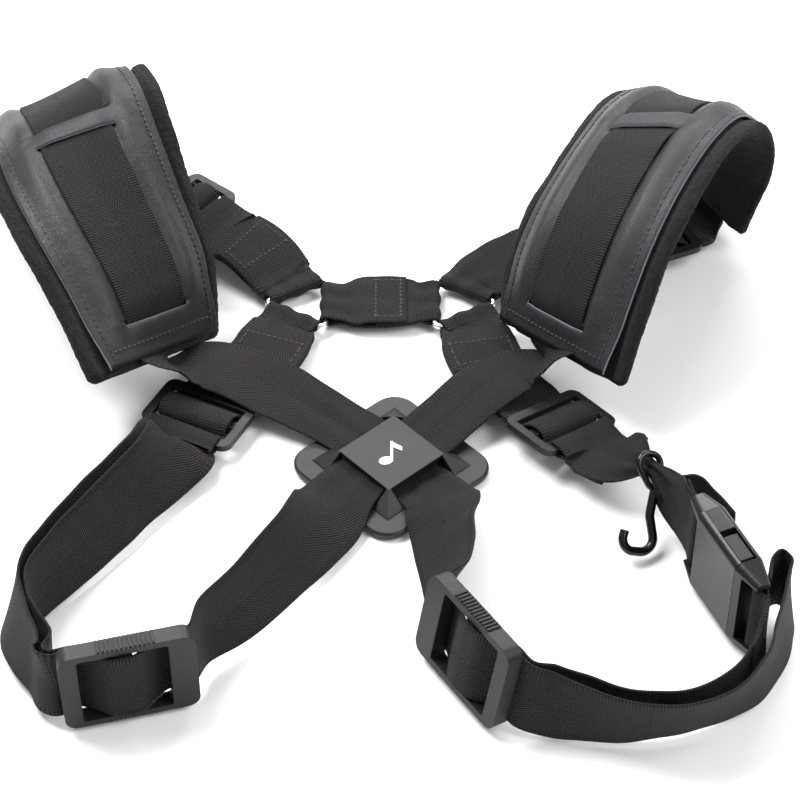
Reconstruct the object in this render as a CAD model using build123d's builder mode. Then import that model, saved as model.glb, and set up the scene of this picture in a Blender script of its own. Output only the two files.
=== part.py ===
from build123d import *
from math import atan2, cos, degrees, radians, sin
import os

# Two-shoulder saxophone harness: padded straps, cross plate, sliders, rings, buckle and hook.
#
# Millimetres. The harness lies spread on a table at z = 0, with the cross plate's centre at the origin.
# +X is to the right, +Y runs from the cross plate towards the shoulder pads, +Z is up.

# --- driving dimensions -------------------------------------------------------------------------
WEB = 38.0  # webbing width
PLY = 1.5  # webbing thickness
GAP = 0.2  # air left between pieces that lie on each other

LEATHER_WIDTH = 80.0
LEATHER = 2.0
CORE_WIDTH = 74.0
CORE = 4.0
LINING_WIDTH = 98.0
LINING = 8.0
UNDER_LEATHER = -(LEATHER / 2 + PLY / 2 + GAP)
OVER_LEATHER = LEATHER / 2 + PLY / 2 + GAP

PLATE_SIDE = 74.0
PLATE_CORNER = 12.0
PLATE_TURN = 45.0 - 2.5  # the square plate stands on its corner, turned a little
PLATE_THICK = 3.0
COVER_TOP = 10.5
COVER_SIDE = 36.0
COVER_SKIRT = 54.5
COVER_ROOF = 2.0
STRAP_GATE = 33.5
PEG_RADIUS = 2.0
PEG_SPREAD = 43.0
PEG_DEPTH = 2.0

SLIDER_LENGTH = 60.0
SLIDER_HEIGHT = 46.0
SLIDER_THICK = 8.0
SLIDER_WINDOW = 40.0
SLIDER_WINDOW_SHIFT = 2.0
SLIDER_BAR = 6.0
SLIDER_BAR_THICK = 4.0
RIB_COUNT = 13
RIB_PITCH = 2.0
RIB_PROUD = 0.8

GLIDE_WIDTH = 50.0
GLIDE_LENGTH = 32.0
GLIDE_THICK = 3.4
GLIDE_BAR = 5.0
GLIDE_WINDOW = 41.0

RING_WIRE = 1.5
RING_SIDE = 40.0
RING_DEPTH = 33.0
RING_CORNER = 2.8
RING_Z = 4.2
RING_EYE = 25.0  # how far the webbing bunches up where it holds a ring

BUCKLE_WIDTH = 50.0
BUCKLE_THICK = 14.0
SOCKET_LENGTH = 46.0
PLUG_LENGTH = 13.5
BUCKLE_BAR = 1.7
POCKET_WIDTH = 42.0
POCKET_THICK = 8.0
POCKET_DEPTH = 31.0
PRONG_LENGTH = 29.0
PRONG_THICK = 6.5
BLADE_LENGTH = 22.0

HOOK_WIRE = 2.2
EYE_WIRE = 1.6

os.makedirs("parts", exist_ok=True)


# --- places and directions ----------------------------------------------------------------------
def heading(degrees):
    """Level unit vector, with 0 along +X and 90 along +Y."""
    return Vector(cos(radians(degrees)), sin(radians(degrees)), 0)


LEFT_SLIDER = Plane(origin=(-113.5, -150.5, 23.8), x_dir=heading(-165.5), z_dir=heading(-75.5))
RIGHT_SLIDER_LEAN = 11.0
lean = radians(RIGHT_SLIDER_LEAN)
right_slider_face = heading(-146) * cos(lean) + Vector(0, 0, sin(lean))
RIGHT_SLIDER = Plane(origin=(34, -135, 23.8), x_dir=heading(-56), z_dir=right_slider_face)

LEFT_SIDE_GLIDE = (-95, 29, 7.2, 0)
RIGHT_SIDE_GLIDE = (83, 21, 9.7, 12)
LEFT_BACK_GLIDE = (-111, 183, 12, 0)
RIGHT_BACK_GLIDE = (140, 166, 12, 0)

BUCKLE = Plane(origin=(139.5, -64, 25.2), x_dir=heading(-66.5), z_dir=heading(-156.5))

HOOK_FOOT = Vector(113, -61, 3.2)
HOOK_UP = Vector(0.07, 0.757, 0.649).normalized()
HOOK_ACROSS = Vector(0.93, 0.186, -0.318).normalized()
HOOK = Plane(origin=HOOK_FOOT, x_dir=HOOK_ACROSS, z_dir=HOOK_ACROSS.cross(HOOK_UP))

# Every strap follows stations (x, y, z, tilt), or (x, y, z, tilt, width) where the webbing bunches.
# Tilt is how far the webbing is turned about its run: 0 lies flat and 90 stands on edge.
# A sixth number is the exact heading, for stations where the strap leaves hardware squarely.
LEFT_PAD_RUN = [
    (-112, 57, 25, -32),
    (-123, 79, 54, -15),
    (-140, 106, 75, -5),
    (-155, 135, 88, 6),
    (-165, 161, 91.5, 16),
    (-173, 184, 83, 20),
    (-178, 205, 68, 18),
    (-178, 221, 50, 17),
    (-173, 231, 32, 20),
]
RIGHT_PAD_RUN = [
    (79, 61, 24, 29),
    (86, 75, 52, 23),
    (97, 94, 74, 22),
    (112, 119, 88, 23),
    (128, 146, 93, 22),
    (144, 173, 88, 17),
    (161, 195, 71, 6),
    (172, 206, 45, -8),
    (172, 206, 16, -18),
]
FOOT_SLIT = 0.5  # slits in the leather, counted in pad stations
LEFT_BRIDGE = (3.3, 3.7)
RIGHT_BRIDGE = (3.95, 4.4)

CROSS_A_RUN = [
    (-109, 54, 16, 33),
    (-104, 55, 14, 22),
    (-96, 57, 14, 8),
    (-83, 56, 13.5, 3),
    (-69, 50, 12.5, 0),
    (-54, 42, 10, 0),
    (-40, 34, 7.5, 0, 35),
    (-28, 27, 5, 0, 32.5),
    (-17.5, 19.1, 4.3, 0, 32),
    (17.5, -19.1, 4.3, 0, 32),
    (22.5, -27, 6.7, -4, 34),
    (24.5, -37, 11, -20),
    (25, -50, 13, -36),
    (25, -64, 17, -45),
    (26, -79, 19, -51),
    (26, -94, 20.5, -60),
]
CROSS_B_RUN = [
    (76, 56, 17, -27),
    (71, 56, 15, -20),
    (64, 55, 14, -14),
    (56, 51, 13.5, -10),
    (48, 46, 12, -8, 37),
    (39, 38.5, 10, -6, 35),
    (29, 28, 7.7, -3, 33),
    (19.1, 17.5, 6.4, 0, 32),
    (-19.1, -17.5, 6.4, 0, 32),
    (-25.5, -28, 7.2, 7, 34),
    (-30, -40, 10, 25),
    (-36, -54, 14, 42),
    (-43, -68, 17, 54),
    (-52, -83, 19, 61),
    (-61, -97, 20, 66),
    (-71, -110, 21, 73),
    (-82, -122, 22, 81),
]

LEFT_OUTER_RUN = [
    (-152, -149.5, 21.3, 84),
    (-157, -138, 20.5, 79),
    (-163.5, -127, 20, 73),
    (-169, -114, 20, 70),
    (-170, -101, 20, 75),
    (-164, -89, 20, 90),
    (-155, -77, 20, 102),
    (-145, -62, 20, 109),
    (-135, -47, 20, 112),
    (-125, -32, 20, 114),
    (-116, -18, 19, 120),
    (-110, -6, 16, 135),
    (-105.5, 4, 11, 160),
]
LEFT_INNER_RUN = [
    (-149, -138, 20.5, 84),
    (-156, -126, 20, 84),
    (-161.5, -113.5, 20, 86),
    (-162, -102, 20, 92),
    (-157, -91, 20, 98),
    (-149.5, -79.5, 20, 104),
    (-140, -65, 20, 109),
    (-130, -50, 20, 112),
    (-120, -35, 20, 114),
    (-111.5, -22, 19.5, 120),
    (-105, -8, 17.4, 135),
    (-101.5, 2.5, 15, 157),
]
RIGHT_OUTER_FRONT_RUN = [
    (68, -163, 20, 98),
    (81, -167, 20, 90),
    (95, -171, 20, 82),
    (109, -172.5, 20, 75),
]
RIGHT_OUTER_BACK_RUN = [
    (111, -172.5, 20, 75),
    (124, -171.5, 20, 71),
    (138, -167, 20, 71),
    (151, -159, 20, 77),
    (163, -147.5, 20.5, 88),
    (171, -132, 21, 97),
    (177, -115, 22, 100),
    (179, -102, 23, 97),
    (177.5, -95, 24, 92),
    (173, -94, 24.5, 90),
    (169.5, -99, 25, 90),
    (168.3, -106, 25, 90),
    (167, -112, 25, 90),
]
RIGHT_INNER_FRONT_RUN = [
    (70, -158.5, 20, 96),
    (83, -162, 20, 91),
    (96, -165.5, 20, 84),
    (109, -167.2, 20, 80),
]
RIGHT_INNER_BACK_RUN = [
    (111, -167.2, 20, 80),
    (123, -166.2, 20, 77),
    (135, -162.3, 20, 78),
    (146, -155.2, 20, 82),
    (156, -145, 20.5, 89),
    (162.5, -134, 22.5, 93),
]

LEFT_TAB_RUN = [
    (-56, 95, 4.4, 0, 32),
    (-59, 86, 4.8, 0, 37),
    (-64, 74, 5, 0),
    (-75, 58, 5, 0),
    (-83, 47.5, 4.2, 0),
]
RIGHT_TAB_RUN = [
    (43, 94, 4.4, 0, 32),
    (44, 84, 4.8, 0, 37),
    (47, 72, 5, 0),
    (56.5, 52.5, 4.6, 2),
    (68, 39, 5.8, 10),
]
LEFT_RING_STRAP_RUN = [
    (-90, 161.5, 14, 0),
    (-77.5, 154, 12.5, 0),
    (-66, 144, 9, 0, 36),
    (-57.5, 134.5, 5.5, 0, 31),
]
RIGHT_RING_STRAP_RUN = [
    (112, 155, 12, 0),
    (93, 153, 10.5, 0),
    (72, 148, 9, 0),
    (55, 139, 7, 0, 36),
    (45, 133.5, 5, 0, 30),
]
LEFT_BACK_RUN = [
    (-172.3, 233.6, 30.2, 12),
    (-171, 235.3, 22, 8),
    (-169, 234, 13, 4),
    (-165, 226, 7, 0),
    (-157, 215, 4.5, 0),
    (-147, 207.5, 5.5, 0),
    (-137, 202, 8, 0),
]
RIGHT_BACK_RUN = [
    (170.5, 203, 10.5, -14),
    (166, 197, 6, -8),
    (161, 188, 5, -3),
    (157, 179, 6.5, 0),
]
HOOK_STRAP_RUN = [
    (102, -2, 13, 0, 37),
    (110, -12, 19, -15, 30),
    (117.5, -21.5, 25.4, -38, 13),
    (120.6, -25.4, 27, -47, 7.5),
    (122.5, -28.3, 27.9, -50, 7.5),
    (124.7, -32, 28.4, -55, 8),
    (127.3, -37, 28.6, -67, 11.5),
    (130.3, -43.5, 27, -80, 26),
    (134, -51.5, 25.6, -90),
]
HOOK_TAIL_RUN = [
    (128, -38.8, 28.2, -71, 13),
    (132.5, -41.2, 25.5, -80, 28),
    (139, -44.5, 23, -88),
    (146, -50.5, 21, -90),
    (153, -58, 20.5, -94),
    (158, -66, 20.5, -96),
]


# --- webbing ------------------------------------------------------------------------------------
def section_planes(run):
    """Cross-section planes of a strap: z_dir along its run, x_dir across it, y_dir down through it."""
    points = [Vector(*station[:3]) for station in run]
    planes = []
    side = None
    for i, station in enumerate(run):
        along = (points[min(i + 1, len(run) - 1)] - points[max(i - 1, 0)]).normalized()
        if len(station) > 5:
            along = heading(station[5])
        level = Vector(along.Y, -along.X, 0)
        if side is None or level.length > 0.2:
            turned = side is not None and level.dot(side) < 0
            side = (level * -1 if turned else level).normalized()
        across = side * cos(radians(station[3])) + side.cross(along) * sin(radians(station[3]))
        planes.append(Plane(origin=points[i], x_dir=across, z_dir=along))
    return planes


def lofted(planes, widths, thickness):
    """A flat strip: ruled faces join the corners of each section to those of the next."""
    rims = []
    for plane, wide in zip(planes, widths):
        x = wide / 2
        y = thickness / 2
        corners = [plane.from_local_coords(c) for c in ((-x, -y, 0), (x, -y, 0), (x, y, 0), (-x, y, 0))]
        rims.append([Edge.make_line(corners[i], corners[(i + 1) % 4]) for i in range(4)])
    skin = [Face(Wire(rims[0])), Face(Wire(rims[-1]))]
    for near, far in zip(rims, rims[1:]):
        skin += [Face.make_surface_from_curves(a, b) for a, b in zip(near, far)]
    with BuildPart() as strip:
        add(Solid(Shell(skin)))
    return strip


def run_widths(run):
    return [station[4] if len(station) > 4 else WEB for station in run]


def band(run, thickness=PLY):
    """One length of webbing through its own stations."""
    return lofted(section_planes(run), run_widths(run), thickness)


def bar_loop(plane, bar_x, bar_y, thickness, width):
    """Webbing sewn round a bar that runs along the plane's z_dir."""
    clear = 2 * GAP
    with BuildPart() as loop:
        with BuildSketch(plane):
            RectangleRounded(bar_x + clear + 2 * thickness, bar_y + clear + 2 * thickness, thickness)
            RectangleRounded(bar_x + clear, bar_y + clear, GAP, mode=Mode.SUBTRACT)
        extrude(amount=width / 2, both=True)
    return loop


def in_slider(slider, weave, flip=1):
    """Section planes of webbing that passes a front slider, from (along, behind the face) pairs."""
    planes = []
    for i, (along, behind) in enumerate(weave):
        before = weave[max(i - 1, 0)]
        after = weave[min(i + 1, len(weave) - 1)]
        run = slider.x_dir * (after[0] - before[0]) - slider.z_dir * (after[1] - before[1])
        origin = slider.from_local_coords((along, 0, -behind))
        planes.append(Plane(origin=origin, x_dir=slider.y_dir * flip, z_dir=run.normalized()))
    return planes


def save(builder, name):
    builder.part.label = name
    export_step(builder.part, f"parts/{name}.step")


# --- shoulder pads ------------------------------------------------------------------------------
def pad_plane(run, place, lift=0.0):
    """Section plane at a fractional pad station, raised out of the pad by lift."""
    planes = section_planes(run)
    first = min(max(int(place), 0), len(run) - 2)
    share = place - first
    low = planes[first]
    high = planes[first + 1]
    origin = low.origin + (high.origin - low.origin) * share
    across = low.x_dir + (high.x_dir - low.x_dir) * share
    along = low.z_dir + (high.z_dir - low.z_dir) * share
    flat = Plane(origin=origin, x_dir=across.normalized(), z_dir=along.normalized())
    return Plane(origin=flat.origin - flat.y_dir * lift, x_dir=flat.x_dir, z_dir=flat.z_dir)


def pad_layer(run, width, thickness, lift, reach=0.0):
    """A layer of the pad: as wide and thick as given, and reach stations longer at each end."""
    last = len(run) - 1
    places = [-reach] + list(range(1, last)) + [last + reach]
    planes = [pad_plane(run, place, lift) for place in places]
    return lofted(planes, [width] * len(planes), thickness)


def pad_strap_planes(run, bridge):
    """The strap starts under the leather, comes out of the foot slit and dips under the bridge."""
    start, end = bridge
    weave = [
        (0.08, UNDER_LEATHER),
        (FOOT_SLIT - 0.15, UNDER_LEATHER),
        (FOOT_SLIT + 0.15, OVER_LEATHER),
        (1, OVER_LEATHER),
        (2, OVER_LEATHER),
        (3, OVER_LEATHER),
        (start - 0.12, OVER_LEATHER),
        (start + 0.12, UNDER_LEATHER),
        (end - 0.12, UNDER_LEATHER),
        (end + 0.12, OVER_LEATHER),
        (5, OVER_LEATHER),
        (6, OVER_LEATHER),
        (7, OVER_LEATHER),
        (len(run) - 1.1, OVER_LEATHER),
    ]
    return [pad_plane(run, place, lift) for place, lift in weave]


def make_pad(side, run, bridge):
    planes = pad_strap_planes(run, bridge)
    save(lofted(planes, [WEB] * len(planes), PLY), f"{side}_pad_strap")
    channel = lofted(planes, [WEB + 2] * len(planes), PLY + 2 * GAP)
    leather = pad_layer(run, LEATHER_WIDTH, LEATHER, 0)
    with BuildPart() as cover:
        add(leather)
        add(channel, mode=Mode.SUBTRACT)
    save(cover, f"{side}_pad_cover")
    core_lift = -(LEATHER / 2 + GAP + CORE / 2)
    foam = pad_layer(run, CORE_WIDTH, CORE, core_lift)
    with BuildPart() as core:
        add(foam)
        add(channel, mode=Mode.SUBTRACT)
    save(core, f"{side}_pad_core")
    lining_lift = core_lift - CORE / 2 - GAP - LINING / 2
    save(pad_layer(run, LINING_WIDTH, LINING, lining_lift, reach=0.12), f"{side}_pad_lining")


make_pad("left", LEFT_PAD_RUN, LEFT_BRIDGE)
make_pad("right", RIGHT_PAD_RUN, RIGHT_BRIDGE)


# --- cross plate --------------------------------------------------------------------------------
plate_plane = Plane.XY.rotated((0, 0, PLATE_TURN))

with BuildPart() as plate_base:
    with BuildSketch(plate_plane):
        RectangleRounded(PLATE_SIDE, PLATE_SIDE, PLATE_CORNER)
    extrude(amount=PLATE_THICK)
    chamfer(plate_base.faces().sort_by(Axis.Z)[-1].edges(), 1.0)
    with BuildSketch(plate_plane.offset(PLATE_THICK - PEG_DEPTH)):
        with GridLocations(PEG_SPREAD, PEG_SPREAD, 2, 2):
            Circle(PEG_RADIUS)
    extrude(amount=PEG_DEPTH, mode=Mode.SUBTRACT)
save(plate_base, "plate_base")

with BuildPart() as plate_cover:
    with BuildSketch(plate_plane.offset(PLATE_THICK)):
        Rectangle(COVER_SKIRT, COVER_SKIRT)
    with BuildSketch(plate_plane.offset(COVER_TOP)):
        Rectangle(COVER_SIDE, COVER_SIDE)
    loft()
    roof = COVER_TOP - COVER_ROOF - PLATE_THICK
    with BuildSketch(plate_plane.offset(PLATE_THICK)):
        Rectangle(PLATE_SIDE, STRAP_GATE)
        Rectangle(STRAP_GATE, PLATE_SIDE)
    extrude(amount=roof, mode=Mode.SUBTRACT)
    outside = (PLATE_SIDE - COVER_SIDE) / 2
    with BuildSketch(plate_plane.offset(PLATE_THICK)):
        with PolarLocations(COVER_SIDE / 2 + outside / 2, 4):
            Rectangle(outside, STRAP_GATE)
    extrude(amount=COVER_TOP, mode=Mode.SUBTRACT)
    with BuildSketch(plate_plane.offset(PLATE_THICK - PEG_DEPTH)):
        with GridLocations(PEG_SPREAD, PEG_SPREAD, 2, 2):
            Circle(PEG_RADIUS)
    extrude(amount=PEG_DEPTH)
save(plate_cover, "plate_cover")

# A plain eighth note, printed on the cover.
with BuildPart() as note_print:
    with BuildSketch(Plane.XY.offset(COVER_TOP)):
        with Locations((-2.6, -6.0)):
            Ellipse(3.4, 2.6, rotation=20)
        with Locations((0.2, 0.4)):
            Rectangle(1.2, 13.6)
        with BuildLine():
            Polyline((-0.4, 7.2), (5.2, 3.4), (5.2, 0.8), (-0.4, 4.0), close=True)
        make_face()
    extrude(amount=0.3)
save(note_print, "note_print")

# --- straps through the plate and the front sliders ---------------------------------------------
SLIDER_FRONT = SLIDER_BAR_THICK / 2 + 2 * GAP + 1.5 * PLY + GAP
SLIDER_BACK = SLIDER_THICK / 2 + PLY / 2 + GAP
RAIL_IN = SLIDER_LENGTH / 2 - 12.5
TO_BAR = [(-RAIL_IN - 9, SLIDER_BACK), (-RAIL_IN, SLIDER_BACK), (-2.5, -SLIDER_FRONT), (3, -SLIDER_FRONT)]
FROM_BAR = [(3.5, -SLIDER_FRONT), (7, -SLIDER_FRONT), (21.5, SLIDER_BACK), (32, SLIDER_BACK)]


def strap_into_slider(run, slider):
    """A cross strap that ends over the slider's bar."""
    planes = section_planes(run)
    flip = -1 if planes[-1].x_dir.dot(slider.y_dir) < 0 else 1
    tail = in_slider(slider, TO_BAR, flip)
    return lofted(planes + tail, run_widths(run) + [WEB] * len(tail), PLY)


def strap_from_slider(slider, weave, run):
    """Loop webbing that starts at the slider and goes on through its own stations."""
    planes = section_planes(run)
    flip = -1 if planes[0].x_dir.dot(slider.y_dir) < 0 else 1
    start = in_slider(slider, weave, flip)
    return lofted(start + planes, [WEB] * len(start) + run_widths(run), PLY)


save(strap_into_slider(CROSS_A_RUN, RIGHT_SLIDER), "cross_strap_a")
save(strap_into_slider(CROSS_B_RUN, LEFT_SLIDER), "cross_strap_b")

SEWN_WEAVE = [(5.6, 2.4), (14, 5.2), (23, SLIDER_BACK + 2.2), (32, SLIDER_BACK + 2.4)]


def sewn_end(slider, run):
    """Loop webbing sewn round the slider's bar."""
    ply_run = strap_from_slider(slider, SEWN_WEAVE, run)
    bar = Plane(
        origin=slider.from_local_coords((SLIDER_WINDOW_SHIFT, 0, 0)),
        x_dir=slider.x_dir,
        z_dir=slider.y_dir,
    )
    loop = bar_loop(bar, SLIDER_BAR, SLIDER_BAR_THICK, PLY, WEB)
    with BuildPart() as strap:
        add(ply_run)
        add(loop)
    return strap


def make_front_slider(name, slider):
    """Rectangular slider with a centre bar and ribbed grips on both long edges."""
    with BuildPart() as frame:
        with BuildSketch(slider):
            RectangleRounded(SLIDER_LENGTH, SLIDER_HEIGHT, 6)
            with Locations((SLIDER_WINDOW_SHIFT, 0)):
                RectangleRounded(SLIDER_WINDOW, WEB + 1.5, 1.5, mode=Mode.SUBTRACT)
        extrude(amount=SLIDER_THICK / 2, both=True)
        with BuildSketch(slider):
            with Locations((SLIDER_WINDOW_SHIFT, 0)):
                Rectangle(SLIDER_BAR, WEB + 2.5)
        extrude(amount=SLIDER_BAR_THICK / 2, both=True)
        with BuildSketch(slider):
            with GridLocations(RIB_PITCH, SLIDER_HEIGHT, RIB_COUNT, 2):
                Rectangle(RIB_PITCH / 2, 2 * RIB_PROUD)
        extrude(amount=SLIDER_THICK / 2 - 0.5, both=True)
    save(frame, name)


make_front_slider("left_front_slider", LEFT_SLIDER)
make_front_slider("right_front_slider", RIGHT_SLIDER)


# --- tri-glides ---------------------------------------------------------------------------------
def glide_plane(place, course):
    """The glide's plane: x_dir along the strap, y_dir along its bars."""
    along = heading(course)
    side = heading(course - 90)
    across = side * cos(radians(place[3])) + Vector(0, 0, sin(radians(place[3])))
    return Plane(origin=place[:3], x_dir=along, z_dir=across.cross(along))


GLIDE_COURSE = {"left_side": -117, "right_side": -48, "left_back": -40, "right_back": -155}
GLIDES = {
    "left_side": glide_plane(LEFT_SIDE_GLIDE, GLIDE_COURSE["left_side"]),
    "right_side": glide_plane(RIGHT_SIDE_GLIDE, GLIDE_COURSE["right_side"]),
    "left_back": glide_plane(LEFT_BACK_GLIDE, GLIDE_COURSE["left_back"]),
    "right_back": glide_plane(RIGHT_BACK_GLIDE, GLIDE_COURSE["right_back"]),
}
GLIDE_LEAN = {"right_side": RIGHT_SIDE_GLIDE[3]}
GLIDE_END = GLIDE_LENGTH / 2 - GLIDE_BAR / 2
SEWN_IN = GLIDE_BAR / 2 + GAP + PLY / 2  # a strap's end sits in the wall of its sewn loop


def make_glide(name, plane):
    """Slider with two slots, so that webbing passes over its centre bar."""
    with BuildPart() as glide:
        with BuildSketch(plane):
            RectangleRounded(GLIDE_LENGTH, GLIDE_WIDTH, 5)
            slot = (GLIDE_LENGTH - 3 * GLIDE_BAR) / 2
            with GridLocations(slot + GLIDE_BAR, 0, 2, 1):
                Rectangle(slot, GLIDE_WINDOW, mode=Mode.SUBTRACT)
        extrude(amount=GLIDE_THICK / 2, both=True)
    save(glide, name)


for place, plane in GLIDES.items():
    make_glide(f"{place}_slider", plane)


def glide_bar(place, along):
    """Plane across a glide's bar at the given distance from its centre."""
    plane = GLIDES[place]
    return Plane(origin=plane.from_local_coords((along, 0, 0)), x_dir=plane.x_dir, z_dir=plane.y_dir)


def glide_loop(place, along):
    """Webbing sewn round a glide's bar."""
    return bar_loop(glide_bar(place, along), GLIDE_BAR, GLIDE_THICK, PLY, WEB)


def glide_lead(place, *course):
    """Stations on a glide's centre line, from (along, drop below the glide) pairs."""
    lean = GLIDE_LEAN.get(place, 0)
    points = [GLIDES[place].from_local_coords((along, 0, -drop)) for along, drop in course]
    return [(point.X, point.Y, point.Z, lean, WEB, GLIDE_COURSE[place]) for point in points]


# --- ring straps, loops and tabs ----------------------------------------------------------------
def ring_corners(side):
    """The wire triangle's corners: two on the link strap's side, one pointing outwards."""
    link_x = -34 if side == "left" else 22
    out = -RING_DEPTH if side == "left" else RING_DEPTH
    middle = 115
    return [
        Vector(link_x, middle + RING_SIDE / 2, RING_Z),
        Vector(link_x + out, middle, RING_Z),
        Vector(link_x, middle - RING_SIDE / 2, RING_Z),
    ]


def make_ring(side):
    far, tip, near = ring_corners(side)
    with BuildPart() as ring:
        with BuildLine() as path:
            bend = FilletPolyline(far, tip, near, radius=RING_CORNER, close=True)
        with BuildSketch(Plane(origin=bend @ 0, z_dir=bend % 0)):
            Circle(RING_WIRE)
        sweep(path=path.wires()[0])
    save(ring, f"{side}_ring")


def ring_side(side, first, second):
    """Plane at the middle of one side of the ring: x_dir points out of the ring, z_dir along the wire."""
    corners = ring_corners(side)
    wire = (corners[second] - corners[first]).normalized()
    middle = (corners[first] + corners[second]) * 0.5
    out = wire.cross(Vector(0, 0, 1)) * (1 if side == "left" else -1)
    return Plane(origin=middle, x_dir=out, z_dir=wire)


def ring_loop(side, first, second, width=RING_EYE):
    """Webbing round one side of the ring, between two of its corners."""
    return bar_loop(ring_side(side, first, second), 2 * RING_WIRE, 2 * RING_WIRE, PLY, width)


def ring_lead(side, first, second, out, inward=1):
    """A station square to a ring's side; the strap runs into the ring, or out of it with inward -1."""
    plane = ring_side(side, first, second)
    point = plane.from_local_coords((out, 0, 0))
    course = degrees(atan2(-inward * plane.x_dir.Y, -inward * plane.x_dir.X))
    return [(point.X, point.Y, point.Z, 0, RING_EYE, course)]


def joined(name, pieces):
    with BuildPart() as strap:
        for piece in pieces:
            add(piece)
    save(strap, name)


DOUBLED = 2 * PLY + GAP

for side in ("left", "right"):
    make_ring(side)

UNDER_END = (DOUBLED + GLIDE_THICK) / 2 + 0.3
TAB_IN = [(-21, UNDER_END), (-GLIDE_END, UNDER_END), (-10.4, UNDER_END), (-SEWN_IN, 1.8)]
BACK_IN = [(-21, 2.8), (-GLIDE_END, 2.7), (-10.4, 2.7), (-SEWN_IN, 2.6)]
END_OUT = (GLIDE_END + SEWN_IN, 0)
RING_OUT = RING_WIRE + 1

for side, tab_run in (("left", LEFT_TAB_RUN), ("right", RIGHT_TAB_RUN)):
    run = ring_lead(side, 1, 2, RING_OUT, -1) + tab_run + glide_lead(f"{side}_side", *TAB_IN)
    pieces = [band(run, DOUBLED), ring_loop(side, 1, 2), glide_loop(f"{side}_side", 0)]
    joined(f"{side}_tab_strap", pieces)

for side, ring_run in (("left", LEFT_RING_STRAP_RUN), ("right", RIGHT_RING_STRAP_RUN)):
    run = glide_lead(f"{side}_back", END_OUT) + ring_run + ring_lead(side, 0, 1, RING_OUT)
    pieces = [band(run, DOUBLED), ring_loop(side, 0, 1), glide_loop(f"{side}_back", GLIDE_END)]
    joined(f"{side}_ring_strap", pieces)

for side, back_run in (("left", LEFT_BACK_RUN), ("right", RIGHT_BACK_RUN)):
    run = back_run + glide_lead(f"{side}_back", *BACK_IN)
    joined(f"{side}_back_strap", [band(run), glide_loop(f"{side}_back", 0)])

LINK_EYE = 29.0
LINK_RUN = [
    (-31.5, 115, RING_Z, 0, LINK_EYE),
    (-28, 115, RING_Z, 0, LINK_EYE),
    (-22, 115, RING_Z + 0.4, 0, 36),
    (10, 115, RING_Z + 0.4, 0, 36),
    (16, 115, RING_Z, 0, LINK_EYE),
    (19.5, 115, RING_Z, 0, LINK_EYE),
]
link_loops = [ring_loop(side, 2, 0, LINK_EYE) for side in ("left", "right")]
joined("link_strap", [band(LINK_RUN, DOUBLED)] + link_loops)

# --- side loops ---------------------------------------------------------------------------------
save(sewn_end(LEFT_SLIDER, LEFT_INNER_RUN), "left_loop_inner")
# It leaves the glide the wrong way up, hence the half turn.
outer_end = GLIDES["left_side"].from_local_coords((GLIDE_END + SEWN_IN, 0, 0))
outer_run = LEFT_OUTER_RUN + [(outer_end.X, outer_end.Y, outer_end.Z, 180, WEB, 63)]
left_outer = strap_from_slider(LEFT_SLIDER, FROM_BAR, outer_run)
joined("left_loop_outer", [left_outer, glide_loop("left_side", GLIDE_END)])
save(sewn_end(RIGHT_SLIDER, RIGHT_INNER_FRONT_RUN), "right_loop_inner_front")
save(strap_from_slider(RIGHT_SLIDER, FROM_BAR, RIGHT_OUTER_FRONT_RUN), "right_loop_outer_front")


# --- side-release buckle ------------------------------------------------------------------------
def buckle_section(along):
    """Plane across the buckle at a distance from the socket's end; x_dir is the buckle's width."""
    origin = BUCKLE.from_local_coords((along, 0, 0))
    return Plane(origin=origin, x_dir=BUCKLE.y_dir, z_dir=BUCKLE.x_dir)



# The buckle's middle plane: x along the buckle, y across its width.
buckle_middle = Plane(origin=BUCKLE.origin, x_dir=BUCKLE.x_dir, z_dir=BUCKLE.z_dir)
SOCKET_BAR = 2.7
SOCKET_SLOT = 12.0
WINDOW_LENGTH = 20.0
PLUG_START = SOCKET_LENGTH + 0.4
PLUG_END = PLUG_START + PLUG_LENGTH
PLUG_BAR = PLUG_END - 2.7
PLUG_SHOULDER = PLUG_START + 4.0

with BuildPart() as buckle_socket:
    with BuildSketch(buckle_section(0)):
        RectangleRounded(BUCKLE_WIDTH - 4, 8, 3)
    with BuildSketch(buckle_section(SOCKET_SLOT)):
        RectangleRounded(BUCKLE_WIDTH, BUCKLE_THICK, 4)
    with BuildSketch(buckle_section(SOCKET_LENGTH)):
        RectangleRounded(BUCKLE_WIDTH, BUCKLE_THICK, 4)
    loft(ruled=True)
    # The prongs and the blade slide into this pocket.
    with BuildSketch(buckle_section(SOCKET_LENGTH)):
        Rectangle(POCKET_WIDTH, POCKET_THICK)
    extrude(amount=-POCKET_DEPTH, mode=Mode.SUBTRACT)
    # Side windows, open at the plug's end, where the prongs are pressed.
    with BuildSketch(buckle_middle):
        window = SOCKET_LENGTH - WINDOW_LENGTH / 2
        with Locations((window, BUCKLE_WIDTH / 2), (window, -BUCKLE_WIDTH / 2)):
            Rectangle(WINDOW_LENGTH, 12)
    extrude(amount=POCKET_THICK / 2, both=True, mode=Mode.SUBTRACT)
    # The webbing's slot, then the end bar across it.
    with BuildSketch(buckle_middle):
        with Locations((SOCKET_SLOT / 2 - 1, 0)):
            Rectangle(SOCKET_SLOT + 2, WEB + 1.5)
    extrude(amount=BUCKLE_THICK, both=True, mode=Mode.SUBTRACT)
    with BuildSketch(buckle_middle):
        with Locations((SOCKET_BAR, 0)):
            Rectangle(2 * BUCKLE_BAR, WEB + 2.5)
    extrude(amount=BUCKLE_BAR, both=True)
save(buckle_socket, "buckle_socket")

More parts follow.
